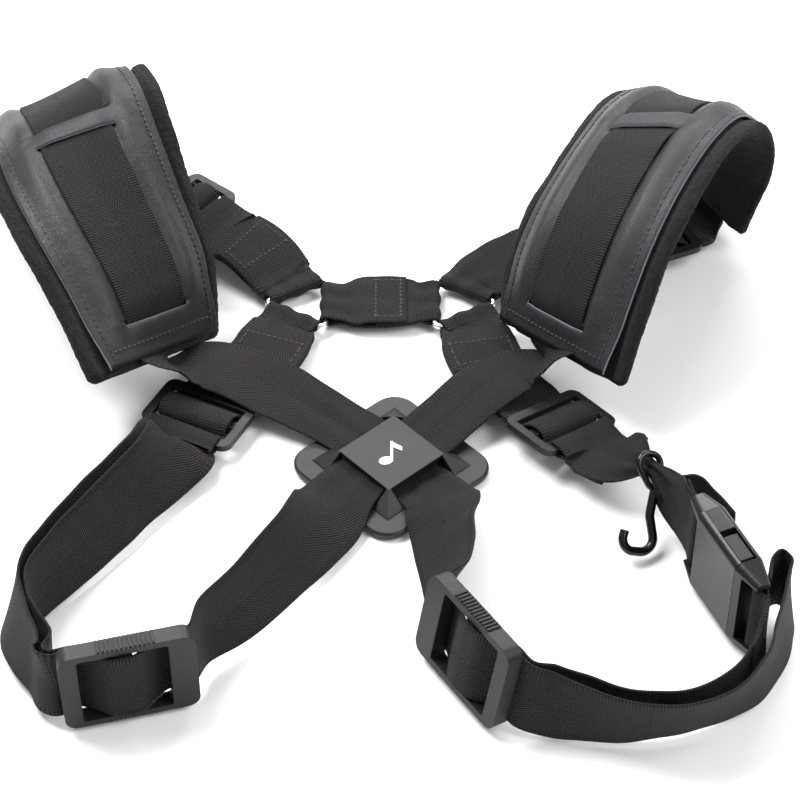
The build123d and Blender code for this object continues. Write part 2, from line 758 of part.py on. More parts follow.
with BuildPart() as buckle_plug:
    with BuildSketch(buckle_section(PLUG_START)):
        RectangleRounded(BUCKLE_WIDTH, BUCKLE_THICK, 4)
    with BuildSketch(buckle_section(PLUG_END)):
        RectangleRounded(BUCKLE_WIDTH - 4, 7, 3)
    loft(ruled=True)
    with BuildSketch(buckle_middle):
        with Locations(((PLUG_SHOULDER + PLUG_END + 1) / 2, 0)):
            Rectangle(PLUG_END + 1 - PLUG_SHOULDER, WEB + 1.5)
    extrude(amount=BUCKLE_THICK, both=True, mode=Mode.SUBTRACT)
    with BuildSketch(buckle_middle):
        with Locations((PLUG_BAR, 0)):
            Rectangle(2 * BUCKLE_BAR, WEB + 2.5)
    extrude(amount=BUCKLE_BAR, both=True)
    # Guide blade between the prongs.
    with BuildSketch(buckle_middle):
        with Locations((PLUG_START + 1 - BLADE_LENGTH / 2, 0)):
            RectangleRounded(BLADE_LENGTH, 11, 2)
    extrude(amount=1.5, both=True)
save(buckle_plug, "buckle_plug")

for name, side in (("prong_upper", 1), ("prong_lower", -1)):
    with BuildPart() as prong:
        with BuildSketch(buckle_middle):
            with BuildLine():
                Polyline(
                    (SOCKET_LENGTH, side * 14.5),
                    (SOCKET_LENGTH, side * 20.5),
                    (SOCKET_LENGTH - 2, side * 24),
                    (SOCKET_LENGTH - WINDOW_LENGTH + 3, side * 24),
                    (SOCKET_LENGTH - WINDOW_LENGTH + 1, side * 20.5),
                    (SOCKET_LENGTH - PRONG_LENGTH + 2, side * 19),
                    (SOCKET_LENGTH - PRONG_LENGTH, side * 16.5),
                    (SOCKET_LENGTH - PRONG_LENGTH + 2, side * 14.5),
                    close=True,
                )
            make_face()
        extrude(amount=PRONG_THICK / 2, both=True)
    save(prong, name)


def buckle_loop(along):
    """Webbing round one of the buckle's bars."""
    bar = Plane(origin=BUCKLE.from_local_coords((along, 0, 0)), x_dir=BUCKLE.x_dir, z_dir=BUCKLE.y_dir)
    return bar_loop(bar, 2 * BUCKLE_BAR, 2 * BUCKLE_BAR, PLY, WEB)


def buckle_lead(*places):
    """Stations on the buckle's centre line, with the webbing on edge."""
    points = [BUCKLE.from_local_coords((along, 0, 0)) for along in places]
    return [(point.X, point.Y, point.Z, 90, WEB, -66.5) for point in points]


inner_end = [(x, y, z, tilt, wide, course + 180) for x, y, z, tilt, wide, course in buckle_lead(PLUG_BAR + 2.7)]
inner_back = RIGHT_INNER_BACK_RUN + inner_end
joined("right_loop_inner_back", [band(inner_back), buckle_loop(PLUG_BAR)])
save(band(RIGHT_OUTER_BACK_RUN), "right_loop_outer_back")

# --- instrument hook and its strap --------------------------------------------------------------
hook_end = [(x, y, z, -tilt, wide, course) for x, y, z, tilt, wide, course in buckle_lead(SOCKET_BAR - 2.7)]
hook_run = glide_lead("right_side", END_OUT) + HOOK_STRAP_RUN + hook_end
joined(
    "hook_strap",
    [
        band(hook_run),
        band(HOOK_TAIL_RUN),
        glide_loop("right_side", GLIDE_END),
        buckle_loop(SOCKET_BAR),
    ],
)

with BuildPart() as hook:
    with BuildLine(HOOK) as bent:
        shank = [(-5.2, 11.5), (-7.2, 2.2), (11.5, 2.2), (7.2, 19.5), (9, 31)]
        wire = FilletPolyline(*shank, radius=[5.5, 6.5, 8])
    with BuildSketch(Plane(origin=bent.line @ 0, z_dir=bent.line % 0)):
        Circle(HOOK_WIRE)
    sweep(path=bent.line)
    with BuildLine(HOOK) as eye:
        corners = [(8.8, 29.5), (-4.5, 48.5), (12.5, 48.5)]
        FilletPolyline(*corners, close=True, radius=[2.2, 5, 5])
    with BuildSketch(Plane(origin=eye.line @ 0, z_dir=eye.line % 0)):
        Circle(EYE_WIRE)
    sweep(path=eye.line)
save(hook, "hook")
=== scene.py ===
import math

import bpy
import numpy as np
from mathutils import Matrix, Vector


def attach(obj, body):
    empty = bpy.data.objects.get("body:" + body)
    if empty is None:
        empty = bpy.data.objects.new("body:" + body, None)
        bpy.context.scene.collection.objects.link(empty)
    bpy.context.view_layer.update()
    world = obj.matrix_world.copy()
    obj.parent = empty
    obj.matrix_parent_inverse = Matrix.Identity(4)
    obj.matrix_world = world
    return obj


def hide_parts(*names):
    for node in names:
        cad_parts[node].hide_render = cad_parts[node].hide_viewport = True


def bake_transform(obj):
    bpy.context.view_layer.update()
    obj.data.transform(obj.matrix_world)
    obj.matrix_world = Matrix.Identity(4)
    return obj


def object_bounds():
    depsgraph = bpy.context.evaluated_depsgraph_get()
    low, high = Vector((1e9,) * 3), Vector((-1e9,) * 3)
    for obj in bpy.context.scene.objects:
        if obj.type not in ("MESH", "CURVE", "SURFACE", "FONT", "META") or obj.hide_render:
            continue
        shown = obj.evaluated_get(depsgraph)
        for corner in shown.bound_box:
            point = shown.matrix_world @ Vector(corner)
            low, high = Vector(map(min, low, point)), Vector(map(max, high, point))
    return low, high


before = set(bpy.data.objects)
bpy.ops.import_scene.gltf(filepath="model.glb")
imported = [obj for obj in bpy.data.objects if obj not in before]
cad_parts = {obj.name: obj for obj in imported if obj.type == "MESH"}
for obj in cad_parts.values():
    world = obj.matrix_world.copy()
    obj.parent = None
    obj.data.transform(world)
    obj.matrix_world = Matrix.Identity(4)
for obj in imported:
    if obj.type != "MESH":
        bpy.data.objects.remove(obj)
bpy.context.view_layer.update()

# Materials, lights and the camera are in metres. All other lengths are in millimetres, as in the
# CAD, and become metres in new_object.
MM = 0.001
WEB = 38.0  # the webbing's width
PLY = 1.4  # its thickness
TWO_PLY = 0.8  # a doubled strap's plies lie this far to each side of its middle


# --- materials ----------------------------------------------------------------------------------
class Val:
    """A socket of a node tree that can be added, multiplied and so on with Math nodes."""

    def __init__(self, tree, socket):
        self.tree = tree
        self.socket = socket

    def op(self, kind, *others):
        """The result of a Math node whose other inputs are sockets or numbers."""
        node = self.tree.nodes.new("ShaderNodeMath")
        node.operation = kind
        for i, value in enumerate((self,) + others):
            if isinstance(value, Val):
                self.tree.links.new(value.socket, node.inputs[i])
            else:
                node.inputs[i].default_value = value
        return Val(self.tree, node.outputs[0])

    def __add__(self, other):
        return self.op("ADD", other)

    def __sub__(self, other):
        return self.op("SUBTRACT", other)

    def __mul__(self, other):
        return self.op("MULTIPLY", other)

    def wave(self, pitch):
        """0 to 1 and back once in every pitch."""
        return self.op("MULTIPLY", 2 * math.pi / pitch).op("SINE").op("MULTIPLY_ADD", 0.5, 0.5)

    def ramp(self, low, high):
        """0 below low, 1 above high and smooth between."""
        node = self.tree.nodes.new("ShaderNodeMapRange")
        node.interpolation_type = "SMOOTHSTEP"
        self.tree.links.new(self.socket, node.inputs["Value"])
        node.inputs["From Min"].default_value = low
        node.inputs["From Max"].default_value = high
        return Val(self.tree, node.outputs["Result"])


class Finish:
    """A procedural material under construction."""

    def __init__(self, name, color, roughness, metallic=0.0, **sockets):
        self.material = bpy.data.materials.new(name)
        self.material.use_nodes = True
        self.tree = self.material.node_tree
        self.shader = self.tree.nodes["Principled BSDF"]
        self.shader.inputs["Base Color"].default_value = (*color, 1)
        self.shader.inputs["Roughness"].default_value = roughness
        self.shader.inputs["Metallic"].default_value = metallic
        for key, value in sockets.items():
            self.shader.inputs[key.replace("_", " ")].default_value = value
        self.material.diffuse_color = (*color, 1)

    def coords(self):
        return self.tree.nodes.new("ShaderNodeTexCoord").outputs["Object"]

    def cloth_uv(self):
        """Metres across a strap from its middle, and along it."""
        node = self.tree.nodes.new("ShaderNodeUVMap")
        node.uv_map = "cloth"
        split = self.tree.nodes.new("ShaderNodeSeparateXYZ")
        self.tree.links.new(node.outputs[0], split.inputs[0])
        return Val(self.tree, split.outputs[0]), Val(self.tree, split.outputs[1])

    def noise(self, scale, detail=3.0, rough=0.55, stretch=None):
        """Noise with this many cells in a metre, stretched along an axis if asked to."""
        node = self.tree.nodes.new("ShaderNodeTexNoise")
        node.inputs["Scale"].default_value = scale
        node.inputs["Detail"].default_value = detail
        node.inputs["Roughness"].default_value = rough
        source = self.coords()
        if stretch:
            mapping = self.tree.nodes.new("ShaderNodeMapping")
            mapping.inputs["Scale"].default_value = stretch
            self.tree.links.new(source, mapping.inputs[0])
            source = mapping.outputs[0]
        self.tree.links.new(source, node.inputs["Vector"])
        return Val(self.tree, node.outputs["Fac"])

    def cells(self, scale):
        """Distance from the borders of a pattern of cells, this many in a metre."""
        node = self.tree.nodes.new("ShaderNodeTexVoronoi")
        node.feature = "DISTANCE_TO_EDGE"
        node.inputs["Scale"].default_value = scale
        self.tree.links.new(self.coords(), node.inputs["Vector"])
        return Val(self.tree, node.outputs["Distance"])

    def color(self, value, low, high):
        """Blends from the low colour to the high one as the value goes from 0 to 1."""
        node = self.tree.nodes.new("ShaderNodeValToRGB")
        node.color_ramp.elements[0].color = (*low, 1)
        node.color_ramp.elements[1].color = (*high, 1)
        self.tree.links.new(value.socket, node.inputs[0])
        self.tree.links.new(node.outputs[0], self.shader.inputs["Base Color"])

    def roughness(self, value, low, high):
        spread = value.op("MULTIPLY_ADD", high - low, low)
        self.tree.links.new(spread.socket, self.shader.inputs["Roughness"])

    def bump(self, height, depth, round_edges=0.0):
        """Raises the surface by up to depth metres, and softens its sharp edges if asked to."""
        node = self.tree.nodes.new("ShaderNodeBump")
        node.inputs["Strength"].default_value = 1.0
        node.inputs["Distance"].default_value = depth
        self.tree.links.new(height.socket, node.inputs["Height"])
        if round_edges:
            bevel = self.tree.nodes.new("ShaderNodeBevel")
            bevel.samples = 4
            bevel.inputs["Radius"].default_value = round_edges
            self.tree.links.new(bevel.outputs[0], node.inputs["Normal"])
        self.tree.links.new(node.outputs[0], self.shader.inputs["Normal"])


def make_webbing():
    """Herringbone: twill lines that meet along the middle, with a combed selvedge at each side."""
    twill_pitch = 0.0023
    pick_pitch = 0.00115
    comb_pitch = 0.0014
    cloth = Finish(
        "webbing_weave", (0.012, 0.011, 0.01), 0.7, Sheen_Weight=0.02, Specular_IOR_Level=0.22
    )
    u, v = cloth.cloth_uv()
    off = u.op("ABSOLUTE")
    wander = cloth.noise(60, 2) * 0.0006
    twill = (v + off * 1.7 + wander).wave(twill_pitch)
    picks = (v + wander).wave(pick_pitch)
    comb = v.wave(comb_pitch)
    centre = off.ramp(-0.0012, 0.0009)
    selvedge = off.ramp(0.0152, 0.0160)
    body = (twill * 0.45 + picks * 0.2 + twill * picks * 0.35) * centre
    height = body * (selvedge.op("MULTIPLY_ADD", -1.0, 1.0)) + (comb * 0.6) * selvedge
    fibres = cloth.noise(2400, 2)
    cloth.bump(height + fibres * 0.25, 0.00055)
    # The colour follows the weave's height: painted shade in the valleys, a painted brown highlight
    # on the ribs' crests, and some random tone from noise.
    tone_and_painted_crest_light = (height * 0.75 + cloth.noise(900, 3) * 0.5) - 0.12
    cloth.color(tone_and_painted_crest_light, (0.0010, 0.0008, 0.0008), (0.021, 0.0165, 0.0152))
    cloth.roughness(height, 0.85, 0.55)
    return cloth.material


def make_leather():
    hide = Finish("leather_smooth", (0.01, 0.01, 0.012), 0.42, Specular_IOR_Level=0.42)
    grain = hide.cells(900)
    pores = hide.noise(1500, 2)
    creases = hide.noise(55, 4, 0.6)
    height = grain.ramp(0.0, 0.12) * 0.28 + pores * 0.2 + creases * 1.6
    hide.bump(height, 0.00035)
    hide.color(creases * 0.7 + pores * 0.3, (0.0045, 0.0042, 0.0056), (0.0125, 0.0115, 0.0155))
    hide.roughness(creases * 0.6 + pores * 0.4, 0.38, 0.58)
    return hide.material


def make_cut_edge_and_highlight():
    # Light blue-grey: partly the cut leather's own colour and partly a painted highlight along the
    # edge.
    edge = Finish("leather_cut_edge_and_highlight", (0.22, 0.22, 0.24), 0.6)
    fuzz = edge.noise(1800, 3)
    edge.bump(fuzz, 0.0003)
    edge.color(fuzz + edge.noise(120, 2) * 0.5 - 0.25, (0.08, 0.08, 0.10), (0.26, 0.27, 0.32))
    return edge.material


def make_thread():
    thread = Finish("stitch_thread", (0.012, 0.012, 0.013), 0.6, Sheen_Weight=0.2)
    twist = thread.noise(2600, 2)
    thread.bump(twist, 0.0002)
    thread.color(twist, (0.0015, 0.0015, 0.002), (0.012, 0.011, 0.012))
    return thread.material


def make_velour():
    pile = Finish(
        "lining_velour", (0.004, 0.004, 0.004), 0.95, Sheen_Weight=0.08, Specular_IOR_Level=0.15
    )
    tufts = pile.noise(1100, 4, 0.7)
    patches = pile.noise(140, 3)
    pile.bump(tufts + patches * 0.8, 0.0016)
    pile.color(tufts * 0.65 + patches * 0.35, (0.0004, 0.0004, 0.0005), (0.013, 0.0122, 0.0135))
    return pile.material


def make_plastic(name, low, high, smooth, rough, texture, depth, edges):
    """Moulded plastic between two colours and two roughnesses, with edges rounded by a radius."""
    plastic = Finish(name, low, smooth, Specular_IOR_Level=0.36)
    grain = plastic.noise(texture, 3)
    blotch = plastic.noise(45, 3)
    plastic.bump(grain + blotch * 0.6, depth, edges)
    plastic.color(grain * 0.5 + blotch * 0.5, low, high)
    plastic.roughness(grain * 0.5 + blotch * 0.5, smooth, rough)
    return plastic.material


def make_nickel():
    wire = Finish("ring_nickel", (0.78, 0.77, 0.76), 0.2, 1.0)
    scratches = wire.noise(380, 4, 0.6, stretch=(1, 6, 1))
    wire.bump(scratches, 0.00006)
    wire.color(scratches, (0.66, 0.65, 0.63), (0.88, 0.87, 0.86))
    wire.roughness(scratches, 0.14, 0.34)
    return wire.material


def make_print():
    ink = Finish("note_ink", (0.8, 0.8, 0.8), 0.5)
    fleck = ink.noise(1400, 2)
    ink.bump(fleck, 0.00008)
    ink.color(fleck, (0.72, 0.72, 0.72), (0.9, 0.9, 0.9))
    return ink.material


def make_floor():
    floor = Finish("pale_floor", (0.86, 0.86, 0.86), 0.8)
    mottle = floor.noise(6, 2)
    floor.color(mottle, (0.85, 0.85, 0.85), (0.88, 0.88, 0.88))
    return floor.material


WEBBING = make_webbing()
LEATHER = make_leather()
CUT_EDGE_AND_HIGHLIGHT = make_cut_edge_and_highlight()
THREAD = make_thread()
VELOUR = make_velour()
HARDWARE = make_plastic(
    "hardware_matte", (0.0055, 0.0052, 0.0062), (0.0105, 0.0098, 0.0118),
    smooth=0.40, rough=0.56, texture=1500, depth=0.00012, edges=0.0006,
)
BUCKLE_SKIN = make_plastic(
    "buckle_satin", (0.0045, 0.0044, 0.0048), (0.0085, 0.0082, 0.009),
    smooth=0.26, rough=0.42, texture=1300, depth=0.0001, edges=0.0005,
)
HOOK_COAT = make_plastic(
    "hook_coating", (0.002, 0.002, 0.0022), (0.004, 0.004, 0.0045),
    smooth=0.10, rough=0.22, texture=500, depth=0.00006, edges=0.0,
)
NICKEL = make_nickel()
INK = make_print()
FLOOR = make_floor()


# --- numbers ------------------------------------------------------------------------------------
ROW_STEP = 1.8  # the longest step between a strap's rows of vertices
FEWEST_ROWS = 3  # in a stretch between two knots
STEEP = 0.2  # below this level share a course is too steep to give a direction across


def unit(v):
    return v / np.linalg.norm(v)


def heading(degrees):
    """A level direction, anticlockwise from x."""
    return np.array([math.cos(math.radians(degrees)), math.sin(math.radians(degrees)), 0.0])


def smooth(x, low, high):
    """0 below low, 1 above high and smooth between."""
    t = np.clip((x - low) / (high - low), 0, 1)
    return t * t * (3 - 2 * t)


def knots_of(run):
    """(place, direction across, width) at each station; tilt 0 lies flat and 90 stands on edge."""
    points = [np.array(station[:3], float) for station in run]
    side = None
    out = []
    for i, station in enumerate(run):
        along = unit(points[min(i + 1, len(run) - 1)] - points[max(i - 1, 0)])
        level = np.array([along[1], -along[0], 0.0])
        if side is None or np.linalg.norm(level) > STEEP:
            turned = side is not None and level @ side < 0
            side = unit(-level if turned else level)
        tilt = math.radians(station[3])
        across = side * math.cos(tilt) + np.cross(side, along) * math.sin(tilt)
        out.append((points[i], across, station[4] if len(station) > 4 else WEB))
    return out


def chain(*lists):
    """Lists of knots end to end, with the directions across turned to agree."""
    done = []
    for knots in lists:
        for point, across, width in knots:
            if done and across @ done[-1][1] < 0:
                across = -across
            done.append((point, across, width))
    return done


def spline(values, rows_each=None):
    """A smooth curve through rows of values, whose first three columns are a place."""
    values = np.asarray(values, float)
    h = np.maximum(np.linalg.norm(np.diff(values[:, :3], axis=0), axis=1), 1e-6)
    slope = np.diff(values, axis=0) / h[:, None]
    tangent = np.empty_like(values)
    tangent[0] = slope[0]
    tangent[-1] = slope[-1]
    both = (h[1:] + h[:-1])[:, None]
    tangent[1:-1] = (slope[:-1] * h[1:, None] + slope[1:] * h[:-1, None]) / both
    rows = []
    for i, length in enumerate(h):
        n = rows_each or max(FEWEST_ROWS, math.ceil(length / ROW_STEP))
        t = np.linspace(0, 1, n, endpoint=False)[:, None]
        rows.append(
            (1 + 2 * t) * (1 - t) ** 2 * values[i]
            + t * (1 - t) ** 2 * length * tangent[i]
            + t * t * (3 - 2 * t) * values[i + 1]
            + t * t * (t - 1) * length * tangent[i + 1]
        )
    rows.append(values[-1:])
    return np.vstack(rows)


class Strip:
    """A smooth strip through knots: rows of place, directions, width and running length."""

    def __init__(self, knots, rows_each=None):
        rows = spline([np.concatenate([p, a, [w]]) for p, a, w in knots], rows_each)
        self.place = rows[:, :3]
        tangent = np.gradient(self.place, axis=0)
        self.tangent = tangent / np.linalg.norm(tangent, axis=1)[:, None]
        across = rows[:, 3:6] - (rows[:, 3:6] * self.tangent).sum(1)[:, None] * self.tangent
        self.across = across / np.linalg.norm(across, axis=1)[:, None]
        self.normal = np.cross(self.across, self.tangent)
        self.width = rows[:, 6]
        steps = np.linalg.norm(np.diff(self.place, axis=0), axis=1)
        self.run = np.concatenate([[0], np.cumsum(steps)])

    def nearest(self, point):
        """The row nearest to a point."""
        return int(np.argmin(np.linalg.norm(self.place - np.asarray(point), axis=1)))

    def row(self, length):
        """The row at a running length."""
        return int(np.argmin(abs(self.run - length)))

    def spot(self, row, aside, lift):
        """A place beside the middle line and above the strip."""
        return self.place[row] + self.across[row] * aside + self.normal[row] * lift

    def knot(self, length, lift):
        """The knot at a running length, raised along the strip's normal."""
        i = self.row(length)
        return (self.place[i] + self.normal[i] * lift, self.across[i], self.width[i])


# --- meshes -------------------------------------------------------------------------------------
def new_object(name, verts, faces, uvs=None):
    """A smooth-shaded mesh from millimetres, with UVs per vertex in the layer "cloth" if given."""
    mesh = bpy.data.meshes.new(name)
    mesh.from_pydata((np.asarray(verts) * MM).tolist(), [], faces)
    mesh.update()
    if uvs is not None:
        layer = mesh.uv_layers.new(name="cloth")
        index = np.empty(len(mesh.loops), np.int32)
        mesh.loops.foreach_get("vertex_index", index)
        corners = (np.asarray(uvs, float)[index] * MM).astype(np.float32)
        layer.data.foreach_set("uv", corners.ravel())
    mesh.polygons.foreach_set("use_smooth", np.ones(len(mesh.polygons), bool))
    made = bpy.data.objects.new(name, mesh)
    bpy.context.scene.collection.objects.link(made)
    return made


def tube_faces(rows, ring, first=0):
    """Quads round a stack of closed rings, with a cap at each end."""
    faces = []
    for i in range(rows - 1):
        low = first + i * ring
        for j in range(ring):
            k = (j + 1) % ring
            faces.append((low + j, low + k, low + ring + k, low + ring + j))
    faces.append(tuple(first + j for j in range(ring))[::-1])
    faces.append(tuple(first + (rows - 1) * ring + j for j in range(ring)))
    return faces


# Across a strap: where its columns of vertices are, and how thick the webbing is there.
COLUMNS = np.concatenate([[-1, -0.985, -0.95], np.linspace(-0.9, 0.9, 21), [0.95, 0.985, 1]])
EDGE = np.concatenate([[0.35, 0.85, 1.05], np.ones(21), [1.05, 0.85, 0.35]])
FOLD_WAVES = 2.4  # half waves of a drawn-together strap, from one edge to the other
FOLD_DEPTH = 0.85  # of the depth that takes up all the spare width
FOLD_EASE = 0.4  # less of it where the strap is nearly at its full width
CALM = 12  # folds fade over this length before a strap's ends


def strap_mesh(name, strip, first=0, last=None, seed=0.0):
    """Webbing along rows first to last of a strip. Where it is drawn narrower it lies in folds."""
    last = len(strip.run) - 1 if last is None else last
    verts = []
    uvs = []
    u = COLUMNS
    for i in range(first, last + 1):
        width = strip.width[i]
        run = strip.run[i]
        depth = FOLD_DEPTH - FOLD_EASE * smooth(width, 20, 30)
        spare = math.sqrt(max(WEB / width - 1, 0))
        swell = width / (2 * math.pi * FOLD_WAVES) * spare * depth
        fold = swell * np.sin(math.pi * FOLD_WAVES * u + seed + run * 0.04)
        relax = 0.25 * math.sin(run * 0.11 + seed * 2.1) + 0.15 * math.sin(run * 0.27 + seed)
        fold = fold + 0.8 * relax * u * u + 0.12 * math.sin(run * 0.21 + seed) * u
        fade = min(smooth(run, 0, CALM), smooth(strip.run[-1] - run, 0, CALM))
        flat = strip.place[i] + np.outer(u * width / 2, strip.across[i])
        middle = flat + np.outer(fold * fade, strip.normal[i])
        half = np.outer(EDGE * PLY / 2, strip.normal[i])
        verts += [middle + half, (middle - half)[::-1]]
        along = np.full(len(u), run)
        uvs += [np.column_stack([u * WEB / 2, along]), np.column_stack([u[::-1] * WEB / 2, along])]
    faces = tube_faces(last + 1 - first, 2 * len(u))
    strap = new_object(name, np.vstack(verts), faces, np.vstack(uvs))
    strap.data.materials.append(WEBBING)
    return strap


STITCH_LONG = 2.2
STITCH_HALF = 0.5  # half a stitch's thickness
STITCH_SIDES = 6
# (along, thickness) of a stitch's rings of vertices, as shares of its length and half thickness.
STITCH_SHAPE = [(-0.5, 0.15), (-0.42, 0.75), (-0.2, 1.0), (0.2, 1.0), (0.42, 0.75), (0.5, 0.15)]
SEAM_PITCH = 3.0  # between the stitches of a box seam
SEAM_INSET = 4.0  # from the webbing's edge


def stitch_row(name, places, directions, normals):
    """Stitches lying on a surface: a small thread capsule at each place."""
    verts = []
    faces = []
    for place, along, normal in zip(places, directions, normals):
        side = np.cross(normal, along)
        first = len(verts)
        for share, size in STITCH_SHAPE:
            for k in range(STITCH_SIDES):
                angle = 2 * math.pi * k / STITCH_SIDES
                ring = side * math.cos(angle) + normal * math.sin(angle)
                verts.append(place + along * share * STITCH_LONG + ring * size * STITCH_HALF)
        faces += tube_faces(len(STITCH_SHAPE), STITCH_SIDES, first)
    row = new_object(name, verts, faces)
    row.data.materials.append(THREAD)
    return row


def box_stitches(name, strip, low, high, lift):
    """Two rows along a strap and two across it, which hold a sewn end down."""
    places = []
    directions = []
    normals = []
    side = strip.width[strip.row((low + high) / 2)] / 2 - SEAM_INSET
    for length in np.arange(low, high, SEAM_PITCH):
        i = strip.row(length)
        for aside in (-side, side):
            places.append(strip.spot(i, aside, lift))
            directions.append(strip.tangent[i])
            normals.append(strip.normal[i])
    for length in (low, high):
        i = strip.row(length)
        for aside in np.arange(-side, side + 0.1, SEAM_PITCH):
            places.append(strip.spot(i, aside, lift))
            directions.append(strip.across[i])
            normals.append(strip.normal[i])
    return stitch_row(name, places, directions, normals)


# --- the straps' stations -------------------------------------------------------------------------
# x, y, z, tilt in degrees and, where it isn't the full width, the width.
LEFT_PAD = [
    (-112, 57, 25, -32), (-123, 79, 54, -15), (-140, 106, 75, -5), (-155, 135, 88, 6),
    (-165, 161, 91.5, 16), (-173, 184, 83, 20), (-178, 205, 68, 18), (-178, 221, 50, 17),
    (-173, 231, 32, 20),
]
RIGHT_PAD = [
    (79, 61, 24, 29), (86, 75, 52, 23), (97, 94, 74, 22), (112, 119, 88, 23), (128, 146, 93, 22),
    (144, 173, 88, 17), (161, 195, 71, 6), (172, 206, 45, -8), (172, 206, 16, -18),
]
CROSS_A = [
    (-109, 54, 16, 33), (-104, 55, 14, 22), (-96, 57, 14, 8), (-83, 56, 13.5, 3),
    (-69, 50, 12.5, 0), (-54, 42, 10, 0), (-40, 34, 7.5, 0, 35), (-28, 27, 5, 0, 32.5),
    (-17.5, 19.1, 4.3, 0, 32), (17.5, -19.1, 4.3, 0, 32), (22.5, -27, 6.7, -4, 34),
    (24.5, -37, 11, -20), (25, -50, 13, -36), (25, -64, 17, -45), (26, -79, 19, -51),
    (26, -94, 20.5, -60),
]
CROSS_B = [
    (76, 56, 17, -27), (71, 56, 15, -20), (64, 55, 14, -14), (56, 51, 13.5, -10),
    (48, 46, 12, -8, 37), (39, 38.5, 10, -6, 35), (29, 28, 7.7, -3, 33), (19.1, 17.5, 6.4, 0, 32),
    (-19.1, -17.5, 6.4, 0, 32), (-25.5, -28, 7.2, 7, 34), (-30, -40, 10, 25), (-36, -54, 14, 42),
    (-43, -68, 17, 54), (-52, -83, 19, 61), (-61, -97, 20, 66), (-71, -110, 21, 73),
    (-82, -122, 22, 81),
]
LEFT_OUTER = [
    (-152, -149.5, 21.3, 84), (-157, -138, 20.5, 79), (-163.5, -127, 20, 73), (-169, -114, 20, 70),
    (-170, -101, 20, 75), (-164, -89, 20, 90), (-155, -77, 20, 102), (-145, -62, 20, 109),
    (-135, -47, 20, 112), (-125, -32, 20, 114), (-116, -18, 19, 120), (-110, -6, 16, 135),
    (-105.5, 4, 11, 160),
]
LEFT_INNER = [
    (-149, -138, 20.5, 84), (-156, -126, 20, 84), (-161.5, -113.5, 20, 86), (-162, -102, 20, 92),
    (-157, -91, 20, 98), (-149.5, -79.5, 20, 104), (-140, -65, 20, 109), (-130, -50, 20, 112),
    (-120, -35, 20, 114), (-111.5, -22, 19.5, 120), (-105, -8, 17.4, 135), (-101.5, 2.5, 15, 157),
]
RIGHT_OUTER = [
    (68, -163, 20, 98), (81, -167, 20, 90), (95, -171, 20, 82), (109, -172.5, 20, 75),
    (124, -171.5, 20, 71), (138, -167, 20, 71), (151, -159, 20, 77), (163, -147.5, 20.5, 88),
    (171, -132, 21, 97), (177, -115, 22, 100), (179, -102, 23, 97), (177.5, -95, 24, 92),
    (173, -94, 24.5, 90), (169.5, -99, 25, 90), (168.3, -106, 25, 90), (167, -112, 25, 90),
]
RIGHT_INNER = [
    (70, -158.5, 20, 96), (83, -162, 20, 91), (96, -165.5, 20, 84), (109, -167.2, 20, 80),
    (123, -166.2, 20, 77), (135, -162.3, 20, 78), (146, -155.2, 20, 82), (156, -145, 20.5, 89),
    (162.5, -134, 22.5, 93),
]
LEFT_TAB = [
    (-52.9, 100.4, 4.2, 0, 31), (-56, 95, 4.4, 0, 34), (-59, 86, 4.8, 0, 37.5), (-64, 74, 5, 0),
    (-75, 58, 5, 0), (-83, 47.5, 4.2, 0),
]
RIGHT_TAB = [
    (40.6, 101, 4.2, 0, 31), (43, 94, 4.4, 0, 34), (44, 84, 4.8, 0, 37.5), (47, 72, 5, 0),
    (56.5, 52.5, 4.6, 2), (68, 39, 5.8, 10),
]
LEFT_RING_STRAP = [
    (-90, 161.5, 14, 0), (-77.5, 154, 12.5, 0), (-66, 144, 9, 0, 38), (-57.5, 134.5, 5.5, 0, 35),
    (-53.5, 129.6, 4.4, 0, 31),
]
RIGHT_RING_STRAP = [
    (112, 155, 12, 0), (93, 153, 10.5, 0), (72, 148, 9, 0), (55, 139, 7, 0, 38),
    (45, 133.5, 5, 0, 34), (41, 129.2, 4.4, 0, 31),
]
LEFT_BACK = [
    (-172.3, 233.6, 30.2, 12), (-171, 235.3, 22, 8), (-169, 234, 13, 4), (-165, 226, 7, 0),
    (-157, 215, 4.5, 0), (-147, 207.5, 5.5, 0), (-137, 202, 8, 0),
]
RIGHT_BACK = [(170.5, 203, 10.5, -14), (166, 197, 6, -8), (161, 188, 5, -3), (157, 179, 6.5, 0)]
HOOK_STRAP = [
    (102, -2, 13, 0, 38), (110, -12, 19, -15, 34), (117.2, -21, 25, -36, 18),
    (120.6, -25.4, 27, -47, 9), (122.5, -28.3, 27.9, -50, 8), (124.7, -32, 28.4, -55, 9.5),
    (127.3, -37, 28.6, -67, 15), (130.3, -43.5, 27, -80, 28), (134, -51.5, 25.6, -90),
]
HOOK_TAIL = [
    (128, -38.8, 28.2, -71, 13), (132.5, -41.2, 25.5, -80, 28), (139, -44.5, 23, -88),
    (146, -50.5, 21, -90), (153, -58, 20.5, -94), (158, -66, 20.5, -96),
]


# --- the fittings that the straps go through -----------------------------------------------------
UP = np.array([0.0, 0.0, 1.0])


class Fitting:
    """A slider or buckle: its centre, and its long, upright and face directions."""

    def __init__(self, origin, long, face):
        self.origin = np.array(origin, float)
        self.long = unit(long)
        self.face = unit(face)
        self.upright = np.cross(self.face, self.long)

    def at(self, along, upright=0.0, out=0.0):
        return self.origin + self.long * along + self.upright * upright + self.face * out

    def weave(self, pairs):
        """Knots of a strap on edge, from (along, behind the face) pairs."""
        return [(self.at(along, 0, -behind), self.upright, WEB) for along, behind in pairs]

    def turn(self, bar, out, shape, width=WEB):
        """Knots round a bar that lies across, from (beyond the bar, above the bar) pairs."""
        return [(self.at(bar + out * o, 0, u), self.upright, width) for o, u in shape]


def flat_fitting(origin, course, lean=0.0):
    """A slider that lies on the floor along a course, and leans about it."""
    tilt = math.radians(lean)
    across = heading(course - 90) * math.cos(tilt) + UP * math.sin(tilt)
    return Fitting(origin, heading(course), np.cross(across, heading(course)))


